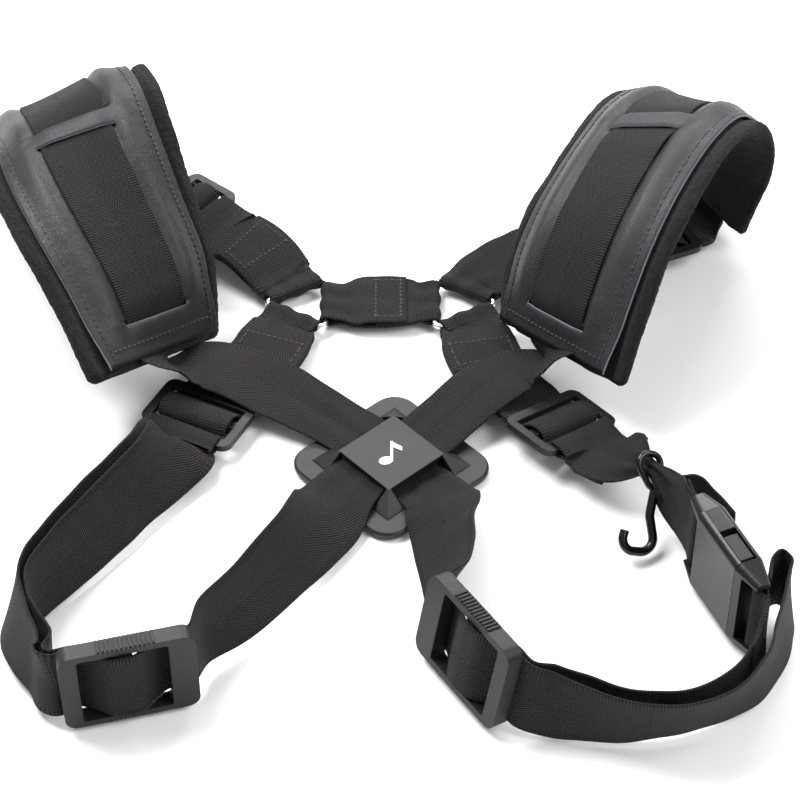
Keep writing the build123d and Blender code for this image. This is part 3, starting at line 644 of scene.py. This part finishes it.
LEAN = math.radians(11)  # the right front slider leans back
LEFT_SLIDER = Fitting((-113.5, -150.5, 23.8), heading(-165.5), heading(-75.5))
RIGHT_FACE = heading(-146) * math.cos(LEAN) + UP * math.sin(LEAN)
RIGHT_SLIDER = Fitting((34, -135, 23.8), heading(-56), RIGHT_FACE)
BUCKLE = Fitting((139.5, -64, 25.2), heading(-66.5), heading(-156.5))
LEFT_SIDE = flat_fitting((-95, 29, 7.2), -117)
RIGHT_SIDE = flat_fitting((83, 21, 9.7), -48, 12)
LEFT_BACK_GLIDE = flat_fitting((-111, 183, 12), -40)
RIGHT_BACK_GLIDE = flat_fitting((140, 166, 12), -155)

# How far the bars are from their fitting's origin.
END_BAR = 13.5
SOCKET_BAR = 2.7
PLUG_BAR = 57.2

# Webbing that turns round a bar: (beyond the bar, above the bar), from its upper ply to its lower.
WIRE_TURN = [(-8, 0.8), (-4.2, 1.5), (-1.3, 2.35), (0, 2.45), (1.73, 1.73), (2.45, 0)]
WIRE_TURN += [(o, -u) for o, u in WIRE_TURN[4::-1]]
BAR_TURN = [(-11, 0.8), (-6.5, 1.6), (-2.6, 2.6), (0, 2.65), (2.2, 2.5), (3.4, 0)]
BAR_TURN += [(o, -u) for o, u in BAR_TURN[4::-1]]
CENTRE_TURN = [
    (-22, -2.8), (-16.5, -2.85), (-12.5, -2.85), (-9.8, -1.6), (-7, 1.2), (-3.6, 3.5), (0.5, 4.3),
    (4.4, 3.6), (6.6, 1.2), (6.0, -1.4), (3.0, -2.9), (-0.5, -3.0), (-4, -3.4), (-9.5, -4.3),
    (-16.5, -4.45), (-22, -4.4),
]
SHORT_CENTRE_TURN = CENTRE_TURN[1:-1]
OVER_BAR = [
    (-26.5, 4.95), (-17.5, 4.95), (-10, 0.6), (-3.5, -4.2), (0, -5.1), (4, -5.1), (8.5, -4.4),
    (15, 0.4), (21.5, 4.95), (32, 4.95),
]
SEWN_ON_BAR = [
    (32, 7.35), (23, 7.15), (14, 5.2), (7, 3.3), (2, 2.95), (-1.2, 2.6), (-2.2, 0), (-1.2, -2.6),
    (2, -3.0), (5.4, -2.2), (8.5, 0.2), (12, 2.2),
]

RING_HEIGHT = 4.2  # of the rings' wire above the floor of the CAD


def ring_wire(side, first, second):
    """A ring's side as a fitting: its middle, the direction into the ring, and up."""
    link_x, tip_x = (-34, -67) if side == "left" else (22, 55)
    outline = ((link_x, 135), (tip_x, 115), (link_x, 95))  # the wire's corners
    corners = [np.array((x, y, RING_HEIGHT), float) for x, y in outline]
    middle = (corners[first] + corners[second]) / 2
    along = unit(corners[second] - corners[first])
    inward = np.cross(UP, along)
    if inward @ (sum(corners) / 3 - middle) < 0:
        inward = -inward
    return Fitting(middle, inward, UP)


# --- straps -------------------------------------------------------------------------------------
RETURN_DROP = 1.6  # from a strap's middle to the middle of the end sewn under it
PAD_ROWS = 24  # rows of a pad's middle surface between two stations

# A strap's middle below and above the middle of the leather that it is threaded through.
UNDER = -1.95
OVER = 1.95


def return_ply(knots, up):
    """The last two knots again, backwards and below, for the end that is sewn under the strap."""
    return [(point - up * RETURN_DROP, across, width) for point, across, width in knots[:-3:-1]]


def pad_middle(run):
    """The middle surface of a pad's leather."""
    return Strip(knots_of(run), PAD_ROWS)


def pad_knot(pad, place, lift):
    """A knot above a pad's middle surface, at a place counted in stations from its foot."""
    i = min(int(round(place * PAD_ROWS)), len(pad.place) - 1)
    return (pad.place[i] + pad.normal[i] * lift, pad.across[i], WEB)


def pad_strap(pad, bridge):
    """Knots of the strap on a pad: from under its foot, out of the slit and below the bridge."""
    start, end = bridge
    weave = [(0.08, UNDER), (0.33, UNDER), (0.5, 0.1), (0.67, OVER)]
    weave += [(place, OVER) for place in (1, 1.5, 2, 2.5, 3, start - 0.12)]
    weave += [(start + 0.1, 0.7), (end - 0.1, 0.7)]
    weave += [(place, OVER) for place in (end + 0.12, 5, 5.5, 6, 6.5, 7, 7.5, 7.9)]
    return [pad_knot(pad, place, lift) for place, lift in weave]


def placed(strap, *nodes, towards, start, end):
    """Hides the nodes that a strap of the harness stands for and bakes the strap's transform;
    towards, start and end are not used.
    """
    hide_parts(*nodes)
    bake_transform(strap)


LEFT_PAD_MIDDLE = pad_middle(LEFT_PAD)
RIGHT_PAD_MIDDLE = pad_middle(RIGHT_PAD)

# The ends of the leather bridge over the strap, in stations.
LEFT_BRIDGE = (3.3, 3.7)
RIGHT_BRIDGE = (3.95, 4.4)

# The strap over the left pad, from its back slider over the pad and under the plate, then through
# the right front slider and round into the right loop as far as the loop's front.
left_down = knots_of(LEFT_BACK)
left_round = LEFT_BACK_GLIDE.turn(0, 1, CENTRE_TURN)
left_back = left_down + left_round + return_ply(left_down, LEFT_BACK_GLIDE.face)
strand_a = chain(
    left_back[::-1],
    pad_strap(LEFT_PAD_MIDDLE, LEFT_BRIDGE)[::-1],
    knots_of(CROSS_A),
    RIGHT_SLIDER.weave(OVER_BAR),
    knots_of(RIGHT_OUTER),
)
strip_a = Strip(strand_a)
loop_front = strip_a.nearest((110, -172.5, 20))

# Where the right loop's straps turn from moving with the harness to moving with the front slider
# or the buckle's plug.
RIGHT_LOOP_IN = {"start": (-33.6, -33.6, 0), "end": (-45.5, -45.5, 0)}
RIGHT_LOOP_OUT = {"start": (111, -170, 20), "end": (163, -119, 20)}
placed(
    strap_mesh("long_strap_left_shoulder", strip_a, last=loop_front, seed=0.4),
    "left_back_strap", "left_pad_strap", "cross_strap_a", "right_loop_outer_front",
    towards="right_slider", **RIGHT_LOOP_IN,
)
placed(
    strap_mesh("right_loop_outer", strip_a, first=loop_front, seed=0.4),
    "right_loop_outer_back", towards="plug", **RIGHT_LOOP_OUT,
)

# The strap over the right pad crosses to the left front slider, goes on round the whole left loop
# and is sewn to that slider.
right_down = knots_of(RIGHT_BACK)
right_round = RIGHT_BACK_GLIDE.turn(0, 1, SHORT_CENTRE_TURN)
right_back = right_down + right_round + return_ply(right_down, RIGHT_BACK_GLIDE.face)
left_loop_turn = [(-11, -0.2)] + [(o, -u) for o, u in BAR_TURN[1:-1]] + [(-10, 5.2)]
strand_b = chain(
    right_back[::-1],
    pad_strap(RIGHT_PAD_MIDDLE, RIGHT_BRIDGE)[::-1],
    knots_of(CROSS_B),
    LEFT_SLIDER.weave(OVER_BAR),
    knots_of(LEFT_OUTER),
    LEFT_SIDE.turn(END_BAR, -1, left_loop_turn),
    knots_of(LEFT_INNER)[::-1],
    LEFT_SLIDER.weave(SEWN_ON_BAR),
)
placed(
    strap_mesh("long_strap_right_shoulder", Strip(strand_b), seed=1.7),
    "right_back_strap", "right_pad_strap", "cross_strap_b", "left_loop_outer", "left_loop_inner",
    towards="left_slider", start=(0, -100, 0), end=(0, -140, 0),
)

# The right loop's inner layer: sewn to the front slider and turned round the buckle plug's bar.
# Most of a turn round one of the buckle's bars; the two plies that lead to it go before and after.
BUCKLE_TURN = [(-1.3, 2.3), (0, 2.6), (1.9, 1.9), (2.6, 0), (1.9, -1.9), (0, -2.6), (-1.3, -2.3)]
plug_turn = BUCKLE.turn(PLUG_BAR, -1, [(-4.6, 0.8), *BUCKLE_TURN, (-4.6, -1.0)])
inner = knots_of(RIGHT_INNER)
inner_end = return_ply(inner, BUCKLE.face)
strip_c = Strip(chain(RIGHT_SLIDER.weave(SEWN_ON_BAR)[::-1], inner, plug_turn, inner_end))
inner_front = strip_c.nearest((110, -167.2, 20))
placed(
    strap_mesh("right_loop_inner", strip_c, last=inner_front, seed=2.9),
    "right_loop_inner_front", towards="right_slider", **RIGHT_LOOP_IN,
)
placed(
    strap_mesh("right_loop_plug_end", strip_c, first=inner_front, seed=2.9),
    "right_loop_inner_back", towards="plug", **RIGHT_LOOP_OUT,
)


END_LIFT = 1.5  # a sewn end lies this much above the ply under it
END_RAMP = 7  # and climbs onto it over this length
BOX_MARGIN = 4  # from a sewn end's foot to its box seam
TIP_MARGIN = 3  # and from the seam to its tip


def doubled(name, run, start, end, seam, overlap, seed):
    """One webbing turned round two bars. One end lies on the other on the upper side, sewn down.

    The upper end's tip is at the running length seam, and it overlaps the other by overlap.
    """
    middle = Strip(knots_of(run))
    total = middle.run[-1]
    up = 1 if middle.normal[0] @ UP > 0 else -1
    foot = seam - overlap
    first = [
        middle.knot(x, up * (TWO_PLY + END_LIFT * smooth(x, foot - END_RAMP, foot)))
        for x in np.arange(seam, 4, -5.0)
    ]
    below = [middle.knot(x, -up * TWO_PLY) for x in np.arange(4, total - 3, 8.0)]
    back = [middle.knot(x, up * TWO_PLY) for x in np.arange(total - 4, foot, -6.0)]
    strap = strap_mesh(name, Strip(chain(first, start, below, end[::-1], back)), seed=seed)
    lift = up * (TWO_PLY + END_LIFT + PLY / 2)
    return strap, box_stitches(
        f"{name}_stitches", middle, foot + BOX_MARGIN, seam - TIP_MARGIN, lift
    )


left_wires = {pair: ring_wire("left", *pair) for pair in ((0, 1), (1, 2), (2, 0))}
right_wires = {pair: ring_wire("right", *pair) for pair in ((0, 1), (1, 2), (2, 0))}


def wire_turn(wire, width=30):
    """Knots of webbing, drawn together, round a ring's side."""
    return wire.turn(0, 1, WIRE_TURN, width)


def ring_straps(pieces, node):
    """A strap, which stands for a node, and its stitches, which both join the harness to a ring."""
    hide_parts(node)
    for piece in pieces:
        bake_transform(piece)


left_tab = doubled(
    "left_tab", LEFT_TAB,
    wire_turn(left_wires[(1, 2)]), LEFT_SIDE.turn(0, 1, SHORT_CENTRE_TURN),
    seam=35, overlap=22, seed=0.3,
)
ring_straps(left_tab, "left_tab_strap")
right_tab = doubled(
    "right_tab", RIGHT_TAB,
    wire_turn(right_wires[(1, 2)]), RIGHT_SIDE.turn(0, 1, SHORT_CENTRE_TURN),
    seam=37, overlap=22, seed=1.1,
)
ring_straps(right_tab, "right_tab_strap")

left_ring_strap = doubled(
    "left_ring_webbing", LEFT_RING_STRAP[::-1],
    wire_turn(left_wires[(0, 1)]), LEFT_BACK_GLIDE.turn(END_BAR, -1, BAR_TURN),
    seam=40, overlap=22, seed=2.2,
)
ring_straps(left_ring_strap, "left_ring_strap")
right_ring_strap = doubled(
    "right_ring_webbing", RIGHT_RING_STRAP[::-1],
    wire_turn(right_wires[(0, 1)]), RIGHT_BACK_GLIDE.turn(END_BAR, -1, BAR_TURN),
    seam=62, overlap=24, seed=0.9,
)
ring_straps(right_ring_strap, "right_ring_strap")

LINK = [
    (-26, 115, 4.4, 0, 30), (-21, 115, 4.6, 0, 35), (-10, 115, 4.6, 0, 36), (0, 115, 4.6, 0, 36),
    (9, 115, 4.5, 0, 34), (14, 115, 4.4, 0, 30),
]
link, link_rows = doubled(
    "link_webbing", LINK,
    wire_turn(left_wires[(2, 0)], 29), wire_turn(right_wires[(2, 0)], 29),
    seam=33, overlap=20, seed=1.9,
)
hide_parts("link_strap")
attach(link, "harness")
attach(link_rows, "harness")

# The hook's strap: from the side slider through the hook's eye to the buckle socket's bar.
hook_run = knots_of(HOOK_STRAP)
socket_turn = BUCKLE.turn(SOCKET_BAR, 1, [(-5.5, 0.8), *BUCKLE_TURN, (-4.6, -0.9)])
hook_start = RIGHT_SIDE.turn(END_BAR, -1, BAR_TURN)
last_place, last_across, _ = hook_run[-1]
strand_d = chain(
    return_ply(hook_run[::-1], RIGHT_SIDE.face),
    hook_start[::-1],
    hook_run,
    socket_turn,
    [(last_place + BUCKLE.face * -1.9, last_across, WEB)],
)
hook_strap = strap_mesh("hook_webbing", Strip(strand_d), seed=0.8)
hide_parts("hook_strap")
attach(hook_strap, "harness")
hook_tail = strap_mesh("hook_webbing_tail", Strip(knots_of(HOOK_TAIL)), seed=2.4)
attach(hook_tail, "harness")


# --- shoulder pads ------------------------------------------------------------------------------
LEATHER_HALF = 40.0  # half the leather's width
LEATHER_THICK = 2.0
THIN_EDGE = 0.62  # of that thickness is left at a cut edge
FOOT_SLIT = 0.5  # the slit near the foot, in stations
SLIT_HALF = 20.5  # half a slit's length
SLIT_GAP = 0.028  # half its width, in stations
LAST_STATION = 8  # the leather's end at the back
SEAM_LINE = 35.5  # from the leather's middle to the seam along each edge
LEATHER_SEAM_PITCH = 3.1
SEAM_RISE = 1.15  # from the leather's middle surface to its stitches


def bell(x, centre, half):
    """1 at the centre, 0 from half away and smooth between."""
    return smooth(half - abs(x - centre), 0, half)


def leather_lift(u, place, bridge):
    """How far the leather stands off its middle surface, at u mm across and a place in stations."""
    start, end = bridge
    off = abs(u)
    roll = 2.6 * bell(off, 25.5, 8.5)
    lift = roll - 3.2 * smooth(off, 30, 41) - 0.35 * bell(off, SEAM_LINE, 1.6)
    lift = lift * smooth(place, 0.1, 0.8) * smooth(7.95 - place, 0, 0.3)
    # Below the foot's slit the leather passes over the strap, and above it under the strap.
    below = place < FOOT_SLIT
    above = place > FOOT_SLIT
    lift += 2.6 * smooth(SLIT_HALF + 4 - off, 0, 12) * smooth(place, 0.12, 0.46) * below
    lift -= 0.5 * smooth(SLIT_HALF - off, 0, 6) * (1 - smooth(place, 0.55, 0.9)) * above
    inside = (place > start) & (place < end)
    lift += 3.0 * smooth(SLIT_HALF + 5 - off, 0, 13) * inside
    pucker = bell(place, (start + end) / 2, 0.42) * bell(off, 24, 6)
    return lift - 0.9 * pucker * (1 + np.sin(place * 52 + u))


def sheet_with_slits(name, middle, places, columns, lift, open_cell):
    """Leather over a grid, with the open cells left out. Its walls are a cut edge."""
    rows, cols = len(places), len(columns)
    grid_u, grid_s = np.meshgrid(columns, places)
    index = grid_s * PAD_ROWS
    low = np.clip(index.astype(int), 0, len(middle.place) - 2)
    share = (index - low)[..., None]
    place = middle.place[low] * (1 - share) + middle.place[low + 1] * share
    across = middle.across[low]
    normal = middle.normal[low]
    surface = place + across * grid_u[..., None] + normal * lift(grid_u, grid_s)[..., None]
    cell_u = grid_u[:-1, :-1] + np.diff(grid_u, axis=1)[:-1] / 2
    cell_s = grid_s[:-1, :-1] + np.diff(grid_s, axis=0)[:, :-1] / 2
    keep = ~open_cell(cell_u, cell_s)
    solid = np.pad(keep, 1)
    walls = np.zeros((rows, cols), bool)
    for dr in (0, 1):
        for dc in (0, 1):
            walls |= ~solid[dr : dr + rows, dc : dc + cols]
    half = np.where(walls, THIN_EDGE, 1.0)[..., None] * LEATHER_THICK / 2
    top = (surface + normal * half).reshape(-1, 3)
    bottom = (surface - normal * half).reshape(-1, 3)
    count = rows * cols
    faces = []
    edges = []
    for r in range(rows - 1):
        for c in range(cols - 1):
            if not keep[r, c]:
                continue
            a, b = r * cols + c, r * cols + c + 1
            d, e = a + cols, b + cols
            faces.append((a, b, e, d))
            faces.append((d + count, e + count, b + count, a + count))
            if not solid[r, c + 1]:
                edges.append((b, a))
            if not solid[r + 2, c + 1]:
                edges.append((d, e))
            if not solid[r + 1, c]:
                edges.append((a, d))
            if not solid[r + 1, c + 2]:
                edges.append((e, b))
    first_wall = len(faces)
    faces += [(a, b, b + count, a + count) for a, b in edges]
    verts = np.vstack([top, bottom])
    used = np.unique(np.concatenate([np.array(f) for f in faces]))
    renamed = np.full(len(verts), -1)
    renamed[used] = np.arange(len(used))
    made = new_object(name, verts[used], [tuple(int(renamed[i]) for i in f) for f in faces])
    made.data.materials.append(LEATHER)
    # The cut edge's light grey is partly a painted highlight along the edge.
    made.data.materials.append(CUT_EDGE_AND_HIGHLIGHT)
    for polygon in made.data.polygons[first_wall:]:
        polygon.material_index = 1
    return made


def make_leather_cover(side, middle, bridge):
    """The leather with its three slits, and the seams round it."""
    slits = [FOOT_SLIT, *bridge]
    places = list(np.arange(0, LAST_STATION + 0.001, 0.07))
    places = sorted(places + [slit + d for slit in slits for d in (-SLIT_GAP, SLIT_GAP)])
    places = [p for p in places if all(abs(p - slit) > SLIT_GAP * 0.99 for slit in slits)]
    columns = list(np.arange(-37, 37.1, 1.85))
    for off in (38.2, 39.4, LEATHER_HALF, SLIT_HALF):
        columns += [-off, off]
    columns = sorted(set(columns))

    def lift(u, s):
        return leather_lift(u, s, bridge)

    def open_cell(u, s):
        near = np.zeros(u.shape, bool)
        for slit in slits:
            near |= abs(s - slit) < SLIT_GAP * 0.9
        return near & (abs(u) < SLIT_HALF)

    grid = (np.array(places), np.array(columns))
    cover = sheet_with_slits(f"{side}_leather", middle, *grid, lift, open_cell)
    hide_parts(f"{side}_pad_cover")
    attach(cover, "harness")

    places = []
    directions = []
    normals = []

    def stitch(i, u, direction):
        rise = float(leather_lift(np.array(u), np.array(i / PAD_ROWS), bridge)) + SEAM_RISE
        places.append(middle.spot(i, u, rise))
        directions.append(direction)
        normals.append(middle.normal[i])

    for length in np.arange(4.0, middle.run[-1] - 3, LEATHER_SEAM_PITCH):
        i = middle.row(length)
        for u in (-SEAM_LINE, SEAM_LINE):
            stitch(i, u, middle.tangent[i])
    for u in np.arange(-33, 33.1, LEATHER_SEAM_PITCH):
        for i in (5, len(middle.place) - 6):
            stitch(i, u, middle.across[i])
    rows = stitch_row(f"{side}_leather_stitches", places, directions, normals)
    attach(rows, "harness")


VELOUR_HALF = 48.6  # half the velour pad's width
VELOUR_RING = 120  # vertices round its section
VELOUR_UNDERSIDE = -13.2  # from the leather's middle surface
CAP_ROWS = 9
CAP_REACH = 4.2  # how far a rounded end stands out
FUZZ_UP = 0.28  # how far the pile's vertices stray from the smooth form, up and down
FUZZ_ASIDE = 0.3  # and sideways and along


def make_lining(side, middle):
    """The thick velour pad, with a rounded rim that stands out beside the leather."""
    fuzz = np.random.default_rng(7)
    angles = np.linspace(0, 2 * math.pi, VELOUR_RING, endpoint=False)
    cos, sin = np.cos(angles), np.sin(angles)
    across = VELOUR_HALF * np.sign(cos) * abs(cos) ** 0.42
    high = np.sign(sin) * abs(sin) ** 0.7
    off = abs(across)
    rim = smooth(off, 40, 46)
    last = len(middle.place) - 1

    def section(i, swell, push):
        """A ring of vertices at row i, swollen to a share of its full size and pushed along."""
        run = middle.run[i]
        lumps = 0.5 * math.sin(run * 0.19) + 0.35 * math.sin(run * 0.083 + 1)
        wide = across * (1 + 0.006 * lumps) * (0.9 + 0.1 * swell)
        under_strap = smooth(24 - off, 0, 4) * smooth(24.0 - i, 0, 8)
        top = -1.9 - 3.2 * smooth(off, 30, 39) + 1.5 * smooth(off, 40.5, 44) - 1.6 * under_strap
        bottom = VELOUR_UNDERSIDE + 0.8 * rim
        wavy = 0.35 * np.sin(across * 0.4 + run * 0.12) * rim
        lift = (top + bottom) / 2 + high * (top - bottom) / 2 * swell + wavy
        lift = lift + fuzz.uniform(-FUZZ_UP, FUZZ_UP, VELOUR_RING)
        wide = wide + fuzz.uniform(-FUZZ_ASIDE, FUZZ_ASIDE, VELOUR_RING)
        along = push + fuzz.uniform(-FUZZ_ASIDE, FUZZ_ASIDE)
        point = middle.place[i] + middle.tangent[i] * along
        return point + np.outer(wide, middle.across[i]) + np.outer(lift, middle.normal[i])

    caps = [math.sin(math.radians(angle)) for angle in np.linspace(8, 82, CAP_ROWS)]
    reach = [CAP_REACH * math.cos(math.asin(cap)) for cap in caps]
    verts = [section(0, cap, -push) for cap, push in zip(caps, reach)]
    verts += [section(i, 1.0, 0.0) for i in range(last + 1)]
    verts += [section(last, cap, push) for cap, push in zip(caps[::-1], reach[::-1])]
    faces = tube_faces(len(verts), VELOUR_RING)
    made = new_object(f"{side}_velour_pad", np.vstack(verts), faces)
    made.data.materials.append(VELOUR)
    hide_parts(f"{side}_pad_lining", f"{side}_pad_core")
    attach(made, "harness")


make_leather_cover("left", LEFT_PAD_MIDDLE, LEFT_BRIDGE)
make_lining("left", LEFT_PAD_MIDDLE)
make_leather_cover("right", RIGHT_PAD_MIDDLE, RIGHT_BRIDGE)
make_lining("right", RIGHT_PAD_MIDDLE)


# --- finishes of the hard parts -------------------------------------------------------------------
def refinish(material, *names):
    for name in names:
        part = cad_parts[name]
        part.data.materials.clear()
        part.data.materials.append(material)


refinish(HARDWARE, "plate_base", "plate_cover")
for kind in ("front", "side", "back"):
    refinish(HARDWARE, f"left_{kind}_slider", f"right_{kind}_slider")
refinish(NICKEL, "left_ring", "right_ring")
refinish(HOOK_COAT, "hook")
refinish(BUCKLE_SKIN, "buckle_socket", "buckle_plug", "prong_upper", "prong_lower")
refinish(INK, "note_print")


# --- floor, light and camera ----------------------------------------------------------------------
FLOOR_HALF = 6.0
FLOOR_DROP = 0.0003  # below the lowest piece


def make_stage():
    corners = [(x * FLOOR_HALF, y * FLOOR_HALF, 0) for x, y in ((-1, -1), (1, -1), (1, 1), (-1, 1))]
    mesh = bpy.data.meshes.new("floor")
    mesh.from_pydata(corners, [], [(0, 1, 2, 3)])
    mesh.materials.append(FLOOR)
    floor = bpy.data.objects.new("floor", mesh)
    floor.location.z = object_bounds()[0][2] - FLOOR_DROP
    bpy.context.scene.collection.objects.link(floor)


def softbox(name, place, aim, size, power):
    """An area light at a place, turned towards its aim."""
    light = bpy.data.lights.new(name, "AREA")
    light.shape = "RECTANGLE"
    light.size, light.size_y = size
    light.energy = power
    lamp = bpy.data.objects.new(name, light)
    lamp.location = place
    lamp.rotation_euler = (Vector(aim) - Vector(place)).to_track_quat("-Z", "Y").to_euler()
    bpy.context.scene.collection.objects.link(lamp)


make_stage()
softbox("key", (-0.7, 0.5, 1.5), (0, 0.05, 0.03), (1.0, 0.7), 44)
softbox("fill", (0.9, -0.4, 1.2), (0, 0.05, 0.03), (0.9, 0.9), 17)
softbox("back", (0.2, 1.3, 0.9), (0, 0.1, 0.05), (1.2, 0.4), 20)
bpy.context.scene.view_settings.view_transform = "Standard"

world = bpy.data.worlds.new("studio")
world.use_nodes = True
background = world.node_tree.nodes["Background"]
background.inputs["Color"].default_value = (1, 1, 1, 1)
background.inputs["Strength"].default_value = 0.5
bpy.context.scene.world = world

CAMERA_AT = Vector((0.0042, -0.8162, 0.8336))
CAMERA_AIM = Vector((0.0042, 0.047, 0))
camera_data = bpy.data.cameras.new("camera")
camera_data.lens = 108
camera_data.sensor_width = 36
camera = bpy.data.objects.new("camera", camera_data)
camera.location = CAMERA_AT
camera.rotation_euler = (CAMERA_AIM - CAMERA_AT).to_track_quat("-Z", "Y").to_euler()
bpy.context.scene.collection.objects.link(camera)
bpy.context.scene.camera = camera

bpy.context.view_layer.update()
